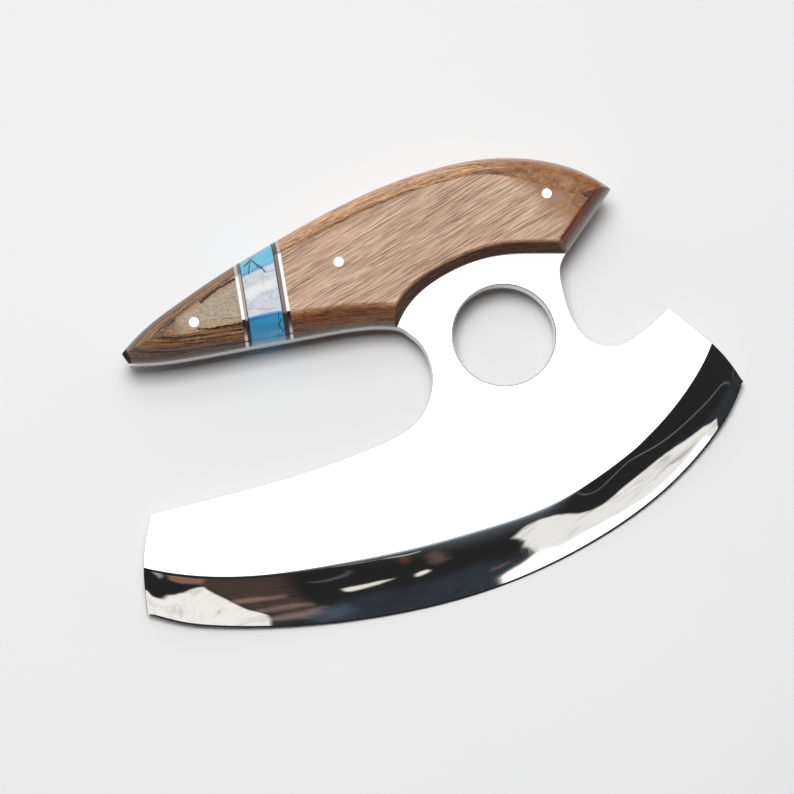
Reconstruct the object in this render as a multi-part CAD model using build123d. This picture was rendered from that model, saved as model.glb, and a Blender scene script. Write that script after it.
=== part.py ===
from build123d import *
import math
import os

# ---------------------------------------------------------------------------
# Rocking pizza knife. Everything is drawn first in the blade's own plane:
#   x along the straight chord between the two ends of the cutting edge,
#   y from the cutting edge towards the handle,
#   z out of the front face, with z = 0 in the middle of the steel plate.
# The finished pieces are then laid down the way the knife rests on a table.
# All dimensions are millimetres.
# ---------------------------------------------------------------------------

# --- driving dimensions -----------------------------------------------------
STOCK = 4.76              # thickness of the steel plate (3/16 in bar)
EDGE_LAND = 0.30          # thickness left at the cutting edge
SCALE_T = 9.0             # thickness of each handle scale
FINGER_R = 16.5           # finger hole radius
FINGER_C = (138.4, 41.9)  # finger hole centre
RIM_R = 0.45              # rounding of the finger hole rims
PIN_R = 3.175 / 2         # handle pins, 1/8 in rod
PINS = {"pin_tip": (46.7, 80.0), "pin_middle": (96.7, 81.7), "pin_front": (167.4, 78.5)}

SPACER_T = 1.00           # polished metal spacer plate
STRIP_TIP_T = 0.85        # thin wood strip on the tip side of the stone
LINER_TIP_T = 0.32        # black liner on the tip side of the stone
STONE_T = 10.80           # stone inlay
LINER_MAIN_T = 0.38       # black liner on the blade side of the stone
STRIP_MAIN_T = 1.15       # thin wood strip on the blade side of the stone
STACK_REF = (63.00, 81.30)   # a point in the middle of the tip-side metal spacer
STACK_LEAN = 12.2            # lean of the spacer stack from the y axis, degrees

BEVEL_CAP_TOP = 5.1       # width of the rounded bevel on the back of the handle, at the cap
BEVEL_MAIN_TOP = 7.2      # the same on the main scale
BEVEL_NOSE_TOP = 4.8      # the same at the blade-side corner
BEVEL_CAP_LOW = 6.3       # width of the bevel on the finger side, at the cap's nose
BEVEL_STACK_LOW = 7.4     # the same at the spacer stack
BEVEL_MAIN_LOW = 6.2      # the same by the arch
NOSE_EXTRA = 5.0          # how much further the flat draws back at the blade-side corner
END_INSET = 4.4           # slope of the blade-side end face, at the top of the scale
ARCH_DRAFT = 1.6          # lean of the arch wall over its height
ARCH_CHAMFER = 0.85       # chamfer on the arch's top edge
ARCH_LEFT_EXTRA = 0.9     # the arch wall leans more at its tip-side end
TIP_DRAFT = 0.20          # lean of the small end facet, per unit height

# Resting attitude: the cutting edge and the rear scale's crease by the arch touch the table.
# This is the table's upward normal as seen in the blade's frame.
REST_UP = (0.00218, 0.11671, 0.99316)

HALF = STOCK / 2
TOP_Z = HALF + SCALE_T

# profile of the handle's long bevels: (height fraction, inset fraction)
PROFILE = [(-0.06, -0.004), (0.0, 0.0), (0.245, 0.036), (0.455, 0.157), (0.655, 0.371),
           (0.845, 0.657), (0.93, 0.828), (1.0, 1.0), (1.10, 1.27)]
# profile of the end face
END_PROFILE = [(-0.06, -0.01), (0.0, 0.0), (0.245, 0.07), (0.455, 0.17), (0.655, 0.32),
               (0.845, 0.57), (0.93, 0.77), (1.0, 1.0), (1.10, 1.38)]

# --- outline points ----------------------------------------------------------
# back of the handle, from beyond the tip to beyond the blade-side corner
BACK = [(14.2, 74.0), (22.0, 80.3), (32.3, 85.5), (43.5, 88.95), (58.6, 92.75), (73.9, 95.75),
        (89.4, 98.4), (105.1, 100.5), (120.9, 101.5), (136.9, 101.0), (152.7, 98.55),
        (167.7, 92.9), (177.9, 86.25), (184.7, 79.65), (188.7, 73.8), (192.5, 66.8)]
BACK_TIP_X = 22.0
BACK_END_X = 188.7
# finger side of the handle, from beyond the tip to beyond the arch
LOW = [(15.5, 79.7), (22.9, 76.8), (29.2, 74.5), (39.5, 71.85), (60.6, 67.85), (81.6, 63.9),
       (97.4, 60.5), (102.6, 58.8), (107.3, 56.6), (112.6, 53.2)]
LOW_TIP_X = 22.9
LOW_ARCH_X = 107.3
END_LOW = (167.3, 59.6)   # lower corner of the blade-side end

# arch over the finger hole, at the steel
ARCH = [(103.4, 51.8), (107.3, 56.75), (111.3, 60.6), (118.3, 64.6), (128.0, 67.15), (137.0, 67.85),
        (147.2, 66.75), (157.2, 63.55), (167.3, 59.6), (174.0, 57.0)]

# from the lower edge of the tang round the open neck and along the spine
NECK_SPINE = [(107.3, 56.6), (109.4, 54.2), (111.7, 50.1), (112.8, 43.7), (111.6, 37.2),
              (107.5, 30.5), (101.2, 25.7), (93.3, 23.75), (81.5, 23.15), (65.9, 23.45),
              (46.6, 24.95), (27.5, 27.15), (12.3, 29.0)]
LEFT_EDGE = [(12.3, 29.0), (7.3, 21.1), (3.0, 11.0), (0.0, 0.0)]
CUT_EDGE = [(0.0, 0.0), (9.3, -6.9), (19.3, -12.05), (44.4, -21.5), (74.9, -29.15), (106.3, -32.7),
            (138.1, -30.75), (165.1, -24.45), (186.5, -14.75), (198.1, -6.7), (205.0, 0.0)]
HORN_EDGE = [(205.0, 0.0), (202.5, 9.4), (198.8, 17.6), (191.5, 31.0)]
HORN_NECK = [(191.5, 31.0), (184.5, 28.2), (177.8, 26.15), (173.2, 25.5), (169.2, 26.0), (165.6, 28.2),
             (162.9, 31.6), (161.4, 36.4), (161.1, 43.0), (162.1, 50.5), (164.2, 56.6), (167.3, 59.6)]

# shoulder of the grind, and how far along the cutting edge each ruling meets it
SHOULDER = [(4.6, 14.0), (20.3, 5.15), (41.2, -2.3), (63.1, -7.0), (85.3, -10.7), (107.7, -13.0),
            (130.6, -13.8), (153.4, -9.95), (171.2, -4.0), (187.7, 5.05)]
SHOULDER_FOOT_X = [0.0, 13.2, 35.2, 58.2, 81.9, 107.7, 132.6, 157.8, 178.4, 196.9]
SHOULDER_BEFORE = [(-4.0, 20.6)]
FOOT_BEFORE = [(-8.6, 7.6)]
SHOULDER_AFTER = [(198.7, 14.0), (205.3, 21.6)]
FOOT_AFTER = [(209.4, 4.9), (216.5, 13.4)]


def v(p, z=0.0):
    return Vector(p[0], p[1], z)


def spline(points, z=0.0, tangents=None, parameters=None):
    kw = {}
    if tangents is not None:
        kw["tangents"] = tangents
    if parameters is not None:
        kw["parameters"] = parameters
    return Edge.make_spline([v(p, z) for p in points], **kw)


def u_at_x(edge, x):
    """Normalised position on an edge where it crosses the given x (x is monotone on it)."""
    lo, hi = 0.0, 1.0
    rising = edge.position_at(1.0).X > edge.position_at(0.0).X
    for _ in range(48):
        mid = (lo + hi) / 2
        if (edge.position_at(mid).X < x) == rising:
            lo = mid
        else:
            hi = mid
    return (lo + hi) / 2


def smooth(t):
    t = min(1.0, max(0.0, t))
    return t * t * (3 - 2 * t)


def cutter(base, stations, inward, inset, levels, far, ruled=False):
    """Solid on the outer side of a handle wall. base is the wall's line at the steel, inward
    is +1 when the wood lies to the left of its direction, inset(u, f) is how far the wall has
    moved into the wood at height fraction f, and far are the outer corners of the solid."""
    wires = []
    for f in levels:
        pts = []
        for u in stations:
            p = base.position_at(u)
            t = base.tangent_at(u)
            d = inset(u, f)
            pts.append((p.X - t.Y * inward * d, p.Y + t.X * inward * d))
        z = HALF + f * SCALE_T
        e = spline(pts, z)
        corners = [v(pts[-1], z)] + [v(c, z) for c in far] + [v(pts[0], z)]
        lines = [Edge.make_line(a, b) for a, b in zip(corners[:-1], corners[1:])]
        wires.append(Wire([e] + lines))
    return Solid.make_loft(wires, ruled)


# --- shared curves -------------------------------------------------------------
back = spline(BACK)
low = spline(LOW)
arch = spline(ARCH)
cut_edge = spline(CUT_EDGE)

u_back_tip = u_at_x(back, BACK_TIP_X)
u_back_end = u_at_x(back, BACK_END_X)
u_low_tip = u_at_x(low, LOW_TIP_X)
u_low_arch = u_at_x(low, LOW_ARCH_X)
tip_hi = back.position_at(u_back_tip)
tip_lo = low.position_at(u_low_tip)
end_hi = back.position_at(u_back_end)
arch_lo = low.position_at(u_low_arch)
end_lo = v(END_LOW)

# --- blade: one plate with tang, neck, finger hole and ground edge -----------------
neck_pts = [(arch_lo.X, arch_lo.Y)] + NECK_SPINE[1:]
low_dir = low.tangent_at(u_low_arch)
neck_spine = Edge.make_spline(
    [v(p) for p in neck_pts],
    tangents=[low_dir, Vector(-0.993, 0.121, 0)])
outline = Wire([
    back.trim(u_back_tip, u_back_end),
    Edge.make_line(end_hi, end_lo),
    spline(HORN_NECK),
    spline(HORN_EDGE),
    cut_edge,
    spline(LEFT_EDGE),
    neck_spine,
    low.trim(u_low_tip, u_low_arch),
    Edge.make_line(tip_lo, tip_hi),
])
plate = Solid.extrude(Face(outline), Vector(0, 0, STOCK)).moved(Location((0, 0, -HALF)))


def grind_cutter():
    """Everything above the ground bevel on the front side of the edge."""
    feet = FOOT_BEFORE + [
        (p.X, p.Y) for p in (cut_edge.position_at(u_at_x(cut_edge, x)) for x in SHOULDER_FOOT_X)
    ] + FOOT_AFTER
    tops = SHOULDER_BEFORE + SHOULDER + SHOULDER_AFTER
    par = [i / (len(tops) - 1) for i in range(len(tops))]
    z_top, z_foot = HALF, EDGE_LAND / 2

    def rail(k):
        pts = [v((s[0] + k * (f[0] - s[0]), s[1] + k * (f[1] - s[1])), z_top + k * (z_foot - z_top))
               for s, f in zip(tops, feet)]
        return Edge.make_spline(pts, parameters=par)

    ruled = Face.make_surface_from_curves(rail(-0.12), rail(1.25))
    return Solid.extrude(ruled, Vector(0, 0, 8))


grind = grind_cutter()
blade = plate.cut(grind)
blade = blade.cut(grind.mirror(Plane.XY))
bore = Solid.make_cylinder(FINGER_R, STOCK + 4, Plane((FINGER_C[0], FINGER_C[1], -HALF - 2)))
blade = blade.cut(bore)
for px, py in PINS.values():
    blade = blade.cut(Solid.make_cylinder(PIN_R, STOCK + 4, Plane((px, py, -HALF - 2))))
blade = blade if isinstance(blade, Solid) else blade.solids().sort_by(SortBy.VOLUME)[-1]
rims = [e for e in blade.edges()
        if e.geom_type == GeomType.CIRCLE and abs(e.radius - FINGER_R) < 1e-3
        and abs(abs(e.center().Z) - HALF) < 1e-3]
blade = blade.fillet(RIM_R, rims)

# --- handle slab, before it is divided ----------------------------------------------
HEIGHTS = [f for f, _ in PROFILE]
PROFILE_AT = dict(PROFILE)
END_AT = dict(END_PROFILE)


def back_inset(u, f):
    x = back.position_at(u).X
    w = BEVEL_CAP_TOP + (BEVEL_MAIN_TOP - BEVEL_CAP_TOP) * smooth((x - 66) / 34)
    w = w + (BEVEL_NOSE_TOP - BEVEL_MAIN_TOP) * smooth((x - 158) / 28)
    nose = NOSE_EXTRA * smooth((x - 148) / 34)
    g = PROFILE_AT[f]
    h = max(0.0, (f - 0.845) / 0.155) ** 1.4
    return w * g + nose * h


def low_inset(u, f):
    x = low.position_at(u).X
    w = BEVEL_CAP_LOW + (BEVEL_STACK_LOW - BEVEL_CAP_LOW) * smooth((x - 40) / 26)
    w = w + (BEVEL_MAIN_LOW - BEVEL_STACK_LOW) * smooth((x - 74) / 28)
    return w * PROFILE_AT[f]


slab = Solid.make_box(190, 70, SCALE_T, Plane((10, 40, HALF)))
slab = slab.cut(cutter(back, [i / 23 for i in range(24)], -1, back_inset, HEIGHTS,
                       [(230, 66.8), (230, 150), (0, 150), (0, 70)]))
slab = slab.cut(cutter(low, [i / 15 for i in range(16)], 1, low_inset, HEIGHTS,
                       [(112.6, 0), (0, 0), (0, 86)]))

end_dir = (end_hi - end_lo).normalized()
end_base = Edge.make_line(end_lo - end_dir * 14, end_hi + end_dir * 14)
slab = slab.cut(cutter(end_base, [0, 0.25, 0.5, 0.75, 1], 1,
                       lambda u, f: END_INSET * END_AT[f], HEIGHTS,
                       [(240, 85), (240, 30), (170, 30)]))

tip_dir = (tip_hi - tip_lo).normalized()
tip_base = Edge.make_line(tip_lo - tip_dir * 14, tip_hi + tip_dir * 14)
slab = slab.cut(cutter(tip_base, [0, 0.5, 1], -1,
                       lambda u, f: TIP_DRAFT * SCALE_T * f, [-0.1, 1.1],
                       [(5, 100), (5, 55)], ruled=True))

CHAMFER_F = 1 - ARCH_CHAMFER / SCALE_T


def arch_inset(u, f):
    x = arch.position_at(u).X
    more = 1 - smooth((x - 112) / 18)
    if f <= CHAMFER_F:
        return f / CHAMFER_F * (ARCH_DRAFT + ARCH_LEFT_EXTRA * more)
    return ARCH_DRAFT + ARCH_LEFT_EXTRA * more + (f - CHAMFER_F) * SCALE_T


slab = slab.cut(cutter(arch, [i / 17 for i in range(18)], 1, arch_inset,
                       [-0.1, CHAMFER_F, 1.1], [(174, 20), (103, 20)], ruled=True))
if not isinstance(slab, Solid):
    slab = slab.solids().sort_by(SortBy.VOLUME)[-1]

# --- divide the slab into its real pieces ---------------------------------------------
lean = math.radians(STACK_LEAN)
stack_plane = Plane(origin=(STACK_REF[0], STACK_REF[1], 0),
                    x_dir=(math.cos(lean), -math.sin(lean), 0), z_dir=(0, 0, 1))
cuts = [-SPACER_T / 2]
for t in (SPACER_T, STRIP_TIP_T, LINER_TIP_T, STONE_T, LINER_MAIN_T, STRIP_MAIN_T, SPACER_T):
    cuts.append(cuts[-1] + t)
bounds = [-80] + cuts + [170]
names = ["end_cap", "metal_spacer_tip", "wood_strip_tip", "black_liner_tip", "stone_inlay",
         "black_liner_main", "wood_strip_main", "metal_spacer_main", "main_scale"]


def whole(shape):
    if isinstance(shape, Solid):
        return shape
    return shape.solids().sort_by(SortBy.VOLUME)[-1]


pieces = {}
for name, a, b in zip(names, bounds[:-1], bounds[1:]):
    tool = Solid.make_box(b - a, 160, 30).moved(
        Location(stack_plane) * Location((a, -80, -5)))
    part = whole(slab.intersect(tool))
    for px, py in PINS.values():
        hole = Solid.make_cylinder(PIN_R, 30, Plane((px, py, -5)))
        if part.distance_to(hole) < 0.01:
            part = whole(part.cut(hole))
    pieces["front_" + name] = part
    pieces["rear_" + name] = part.mirror(Plane.XY)

# --- pins, ground flush with the scales -------------------------------------------------
for name, (px, py) in PINS.items():
    upper = whole(slab.intersect(Solid.make_cylinder(PIN_R, 30, Plane((px, py, -5)))))
    core = Solid.make_cylinder(PIN_R, STOCK, Plane((px, py, -HALF)))
    pin = core.fuse(upper).fuse(upper.mirror(Plane.XY)).clean()
    pieces[name] = whole(pin)

pieces = {"blade": whole(blade), **pieces}

# --- lay the knife down as it rests, with its origin at the bottom centre of its box ------
rest = Plane(origin=(0, 0, 0), x_dir=(1, 0, 0), z_dir=REST_UP).location.inverse()
laid = {n: s.moved(rest) for n, s in pieces.items()}
boxes = [s.bounding_box() for s in laid.values()]
lo = [min(getattr(b.min, a) for b in boxes) for a in ("X", "Y", "Z")]
hi = [max(getattr(b.max, a) for b in boxes) for a in ("X", "Y", "Z")]
shift = Location((-(lo[0] + hi[0]) / 2, -(lo[1] + hi[1]) / 2, -lo[2]))

os.makedirs("parts", exist_ok=True)
for name, shape in laid.items():
    export_step(shape.moved(shift), f"parts/{name}.step")

print("shift", shift.position)
print("size", [round(b - a, 3) for a, b in zip(lo, hi)])
for label, p in (("finger hole", v(FINGER_C)), ("finger hole low", v(FINGER_C, -HALF + RIM_R)),
                 ("rear flat point", v((120, 82), -TOP_Z))):
    q = (shift * rest * Location(p)).position
    print(label, [round(c, 4) for c in (q.X, q.Y, q.Z)])
axis = (rest * Location((0, 0, 1))).position - rest.position
print("plate normal", axis)
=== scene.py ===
import bpy
import math
import numpy as np
from mathutils import Vector, Matrix
from mathutils.geometry import delaunay_2d_cdt


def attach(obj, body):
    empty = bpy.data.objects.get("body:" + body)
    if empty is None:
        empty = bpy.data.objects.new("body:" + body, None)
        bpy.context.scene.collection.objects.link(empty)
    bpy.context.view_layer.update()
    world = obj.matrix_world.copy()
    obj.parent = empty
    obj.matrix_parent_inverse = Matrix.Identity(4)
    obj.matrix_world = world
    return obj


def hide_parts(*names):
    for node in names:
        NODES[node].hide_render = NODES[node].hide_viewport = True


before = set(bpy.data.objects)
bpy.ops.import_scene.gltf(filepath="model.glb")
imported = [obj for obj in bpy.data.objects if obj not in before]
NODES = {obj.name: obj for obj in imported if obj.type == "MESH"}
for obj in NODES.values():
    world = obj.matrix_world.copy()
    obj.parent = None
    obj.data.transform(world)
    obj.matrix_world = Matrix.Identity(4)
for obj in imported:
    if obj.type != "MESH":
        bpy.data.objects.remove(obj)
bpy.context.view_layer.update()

# ---------------------------------------------------------------------------
# The knife's own plane (mm): x along the chord of the edge, y towards the
# handle, z out of the front face. The row frame is the knife laid on a table.
# ---------------------------------------------------------------------------
UP = Vector((0.00218, 0.11671, 0.99316)).normalized()
XR = (Vector((1, 0, 0)) - UP * UP.x).normalized()
YR = UP.cross(XR)
K2R = Matrix((XR, YR, UP))
SHIFT = Vector((35.8892, 7.2942, 8.9271)) - K2R @ Vector((138.4, 41.9, 0.0))
R2K = K2R.transposed()
K2R_NP = np.array(K2R)
SHIFT_NP = np.array(SHIFT)


def row(points):
    """Knife plane (mm) to row frame (m)."""
    return (np.asarray(points, float) @ K2R_NP.T + SHIFT_NP) / 1000.0


# ---------------------------------------------------------------------------
# Camera: about 17 degrees off the vertical, over the cutting edge's side
# ---------------------------------------------------------------------------
AZ = math.radians(-21.9026)
EL = math.radians(73.0)
BACK_V = Vector((math.sin(AZ) * math.cos(EL), -math.cos(AZ) * math.cos(EL), math.sin(EL)))
RIGHT_V = Vector((math.cos(AZ), math.sin(AZ), 0.0))
UP_V = BACK_V.cross(RIGHT_V)
NORTH = Vector((-BACK_V.x, -BACK_V.y, 0)).normalized()     # away from the camera, along the floor
EAST = RIGHT_V.copy()                                       # to the camera's right
TARGET = (Vector((99.487, 36.966, 0.0)) + SHIFT) / 1000.0

cam = bpy.data.cameras.new("camera")
cam.lens = 126.66
cam.sensor_width = 36.0
cam.clip_start = 0.05
cam.clip_end = 60.0
camera = bpy.data.objects.new("camera", cam)
bpy.context.scene.collection.objects.link(camera)
camera.matrix_world = Matrix((
    (RIGHT_V.x, UP_V.x, BACK_V.x, TARGET.x + 0.9 * BACK_V.x),
    (RIGHT_V.y, UP_V.y, BACK_V.y, TARGET.y + 0.9 * BACK_V.y),
    (RIGHT_V.z, UP_V.z, BACK_V.z, TARGET.z + 0.9 * BACK_V.z),
    (0, 0, 0, 1)))
bpy.context.scene.camera = camera
bpy.context.scene.view_settings.view_transform = "Standard"
bpy.context.scene.view_settings.look = "None"


# ---------------------------------------------------------------------------
# Small helpers for node trees
# ---------------------------------------------------------------------------
class Tree:
    def __init__(self, tree):
        self.t = tree
        self.x = 0

    def node(self, kind, ins=None, **props):
        n = self.t.nodes.new(kind)
        self.x += 40
        n.location = (self.x, 0)
        for k, val in props.items():
            setattr(n, k, val)
        for k, val in (ins or {}).items():
            self.put(n.inputs[k], val)
        return n

    def put(self, socket, val):
        if isinstance(val, bpy.types.NodeSocket):
            self.t.links.new(val, socket)
        elif hasattr(socket.default_value, "__len__") and not isinstance(val, (tuple, list, Vector)):
            socket.default_value = [val] * len(socket.default_value)
        elif hasattr(socket.default_value, "__len__") and len(socket.default_value) == 4 and len(val) == 3:
            socket.default_value = (*val, 1.0)
        else:
            socket.default_value = val

    def m(self, op, a, b=None, c=None, clamp=False):
        n = self.node("ShaderNodeMath", operation=op, use_clamp=clamp)
        for i, val in enumerate((a, b, c)):
            if val is not None:
                self.put(n.inputs[i], val)
        return n.outputs[0]

    def v(self, op, a, b=None, scale=None):
        n = self.node("ShaderNodeVectorMath", operation=op)
        self.put(n.inputs[0], a)
        if b is not None:
            self.put(n.inputs[1], b)
        if scale is not None:
            self.put(n.inputs[3], scale)
        return n.outputs["Value"] if op in ("DOT_PRODUCT", "LENGTH", "DISTANCE") else n.outputs[0]

    def xyz(self, vec):
        n = self.node("ShaderNodeSeparateXYZ", {0: vec})
        return n.outputs[0], n.outputs[1], n.outputs[2]

    def vec(self, x, y, z):
        return self.node("ShaderNodeCombineXYZ", {0: x, 1: y, 2: z}).outputs[0]

    def map(self, vec, scale=(1, 1, 1), rot=(0, 0, 0), loc=(0, 0, 0)):
        return self.node("ShaderNodeMapping", {"Vector": vec, "Scale": scale, "Rotation": rot,
                                               "Location": loc}).outputs[0]

    def noise(self, vec, scale=1.0, detail=2.0, rough=0.5, distort=0.0):
        return self.node("ShaderNodeTexNoise", {"Vector": vec, "Scale": scale, "Detail": detail,
                                                "Roughness": rough, "Distortion": distort}).outputs[0]

    def voronoi(self, vec, scale=1.0, feature="F1", rand=1.0, out="Distance"):
        return self.node("ShaderNodeTexVoronoi", {"Vector": vec, "Scale": scale, "Randomness": rand},
                         feature=feature).outputs[out]

    def span(self, val, a, b, c=0.0, d=1.0, smooth=True):
        n = self.node("ShaderNodeMapRange", interpolation_type="SMOOTHSTEP" if smooth else "LINEAR")
        for k, x in (("Value", val), ("From Min", a), ("From Max", b), ("To Min", c), ("To Max", d)):
            self.put(n.inputs[k], x)
        return n.outputs[0]

    def mix(self, fac, a, b, blend="MIX"):
        n = self.node("ShaderNodeMix", data_type="RGBA", blend_type=blend, clamp_factor=True)
        self.put(n.inputs[0], fac)
        self.put(n.inputs[6], a)
        self.put(n.inputs[7], b)
        return n.outputs[2]

    def ramp(self, fac, stops, interp="LINEAR"):
        n = self.node("ShaderNodeValToRGB", {0: fac})
        cr = n.color_ramp
        cr.interpolation = interp
        while len(cr.elements) > 1:
            cr.elements.remove(cr.elements[-1])
        for i, (pos, col) in enumerate(stops):
            e = cr.elements[0] if i == 0 else cr.elements.new(pos)
            e.position = pos
            e.color = (*col, 1.0) if len(col) == 3 else col
        return n.outputs[0]

    def bump(self, height, strength=1.0, distance=0.001, normal=None):
        n = self.node("ShaderNodeBump", {"Height": height, "Strength": strength, "Distance": distance})
        if normal is not None:
            self.put(n.inputs["Normal"], normal)
        return n.outputs[0]


def material(name, **uniform):
    """A new material with its shader's uniform values set on the sockets themselves."""
    mat = bpy.data.materials.new(name)
    mat.use_nodes = True
    t = Tree(mat.node_tree)
    bsdf = next(n for n in mat.node_tree.nodes if n.type == "BSDF_PRINCIPLED")
    for k, val in uniform.items():
        t.put(bsdf.inputs[k.replace("_", " ")], val)
    return mat, t, bsdf


def knife_mm(t):
    """Position in the knife's own plane, in millimetres."""
    co = t.node("ShaderNodeTexCoord").outputs["Object"]
    eul = R2K.to_euler("XYZ")
    off = R2K @ SHIFT
    return t.map(co, (1000, 1000, 1000), tuple(eul), (-off.x, -off.y, -off.z))


def link(t, a, b):
    t.t.links.new(a, b)


# ---------------------------------------------------------------------------
# Curves of the blade, in its own plane
# ---------------------------------------------------------------------------
def cubic(points, ends=(None, None)):
    """Interpolating cubic over chord length. ends are unit tangents, or None for a natural end."""
    p = np.asarray(points, float)
    s = np.concatenate([[0], np.cumsum(np.linalg.norm(np.diff(p, axis=0), axis=1))])
    n = len(p)
    h = np.diff(s)
    A = np.zeros((n, n))
    rhs = np.zeros((n, p.shape[1]))
    for i in range(1, n - 1):
        A[i, i - 1], A[i, i], A[i, i + 1] = h[i], 2 * (h[i - 1] + h[i]), h[i - 1]
        rhs[i] = 3 * (h[i] * (p[i] - p[i - 1]) / h[i - 1] + h[i - 1] * (p[i + 1] - p[i]) / h[i])
    if ends[0] is None:
        A[0, 0], A[0, 1] = 2, 1
        rhs[0] = 3 * (p[1] - p[0]) / h[0]
    else:
        A[0, 0] = 1
        rhs[0] = ends[0]
    if ends[1] is None:
        A[-1, -1], A[-1, -2] = 2, 1
        rhs[-1] = 3 * (p[-1] - p[-2]) / h[-1]
    else:
        A[-1, -1] = 1
        rhs[-1] = ends[1]
    m = np.linalg.solve(A, rhs)

    def at(q):
        q = np.atleast_1d(np.asarray(q, float))
        i = np.clip(np.searchsorted(s, q, side="right") - 1, 0, n - 2)
        t = ((q - s[i]) / h[i])[:, None]
        hh = h[i][:, None]
        return ((2 * t**3 - 3 * t**2 + 1) * p[i] + (t**3 - 2 * t**2 + t) * hh * m[i]
                + (-2 * t**3 + 3 * t**2) * p[i + 1] + (t**3 - t**2) * hh * m[i + 1])
    at.s = s
    at.length = s[-1]
    return at


def where_x(curve, x):
    q = np.linspace(0, curve.length, 4001)
    c = curve(q)[:, 0]
    if c[-1] < c[0]:
        return float(np.interp(x, c[::-1], q[::-1]))
    return float(np.interp(x, c, q))


def dense(curve, a, b, step):
    n = max(2, int(round(abs(b - a) / step)) + 1)
    return curve(np.linspace(a, b, n))


HALF = 2.38
BACK = [(14.2, 74.0), (22.0, 80.3), (32.3, 85.5), (43.5, 88.95), (58.6, 92.75), (73.9, 95.75),
        (89.4, 98.4), (105.1, 100.5), (120.9, 101.5), (136.9, 101.0), (152.7, 98.55),
        (167.7, 92.9), (177.9, 86.25), (184.7, 79.65), (188.7, 73.8), (192.5, 66.8)]
LOW = [(15.5, 79.7), (22.9, 76.8), (29.2, 74.5), (39.5, 71.85), (60.6, 67.85), (81.6, 63.9),
       (97.4, 60.5), (102.6, 58.8), (107.3, 56.6), (112.6, 53.2)]
END_LOW = np.array((167.3, 59.6))
NECK_SPINE = [(109.4, 54.2), (111.7, 50.1), (112.8, 43.7), (111.6, 37.2), (107.5, 30.5),
              (101.2, 25.7), (93.3, 23.75), (81.5, 23.15), (65.9, 23.45), (46.6, 24.95),
              (27.5, 27.15), (12.3, 29.0)]
LEFT_EDGE = [(12.3, 29.0), (7.3, 21.1), (3.0, 11.0), (0.0, 0.0)]
CUT_EDGE = [(0.0, 0.0), (9.3, -6.9), (19.3, -12.05), (44.4, -21.5), (74.9, -29.15), (106.3, -32.7),
            (138.1, -30.75), (165.1, -24.45), (186.5, -14.75), (198.1, -6.7), (205.0, 0.0)]
HORN_EDGE = [(205.0, 0.0), (202.5, 9.4), (198.8, 17.6), (191.5, 31.0)]
HORN_NECK = [(191.5, 31.0), (184.5, 28.2), (177.8, 26.15), (173.2, 25.5), (169.2, 26.0), (165.6, 28.2),
             (162.9, 31.6), (161.4, 36.4), (161.1, 43.0), (162.1, 50.5), (164.2, 56.6), (167.3, 59.6)]
SHOULDER = [(-4.0, 20.6), (4.6, 14.0), (20.3, 5.15), (41.2, -2.3), (63.1, -7.0), (85.3, -10.7),
            (107.7, -13.0), (130.6, -13.8), (153.4, -9.95), (171.2, -4.0), (187.7, 5.05),
            (198.7, 14.0), (205.3, 21.6)]
FEET_X = [0.0, 13.2, 35.2, 58.2, 81.9, 107.7, 132.6, 157.8, 178.4, 196.9]
PIN_XY = [(46.7, 80.0), (96.7, 81.7), (167.4, 78.5)]
FINGER_C, FINGER_R, RIM_R = (138.4, 41.9), 16.5, 0.45

c_back, c_low = cubic(BACK), cubic(LOW)
c_cut, c_left, c_horn = cubic(CUT_EDGE), cubic(LEFT_EDGE), cubic(HORN_EDGE)
c_neck_h, c_sh = cubic(HORN_NECK), cubic(SHOULDER)
q_bt, q_be = where_x(c_back, 22.0), where_x(c_back, 188.7)
q_lt, q_la = where_x(c_low, 22.9), where_x(c_low, 107.3)
arch_lo = c_low(q_la)[0]
low_dir = (c_low(q_la + .01) - c_low(q_la - .01))[0]
low_dir /= np.linalg.norm(low_dir)
c_neck = cubic([tuple(arch_lo)] + NECK_SPINE, (low_dir, np.array((-0.993, 0.121))))


def crossing(curve, other, q0, q1):
    """Positions on both curves where they cross (dense search, then refined)."""
    qa, qb = np.linspace(q0, q1, 1500), np.linspace(0, other.length, 3000)
    for _ in range(4):
        A, B = curve(qa), other(qb)
        d = ((A[:, None] - B[None]) ** 2).sum(-1)
        i, j = np.unravel_index(d.argmin(), d.shape)
        da, db = qa[1] - qa[0], qb[1] - qb[0]
        ca, cb = qa[i], qb[j]
        qa, qb = np.linspace(ca - 2 * da, ca + 2 * da, 200), np.linspace(cb - 2 * db, cb + 2 * db, 200)
    return ca, cb


ql_s, qs_l = crossing(c_left, c_sh, 0, c_left.length)         # shoulder meets the left edge
qh_s, qs_h = crossing(c_horn, c_sh, 0, c_horn.length)         # and the horn's edge
EDGE_R = 0.22      # rounding of the plate's outer edges
MICRO = 0.55       # width of the final narrow bevel at the cutting edge
Z_EDGE = 0.07
Z_MICRO = 0.27


def tangents(p, closed=False):
    if closed:
        d = np.roll(p, -1, 0) - np.roll(p, 1, 0)
    else:
        d = np.gradient(p, axis=0)
    return d / np.linalg.norm(d, axis=1)[:, None]


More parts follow.
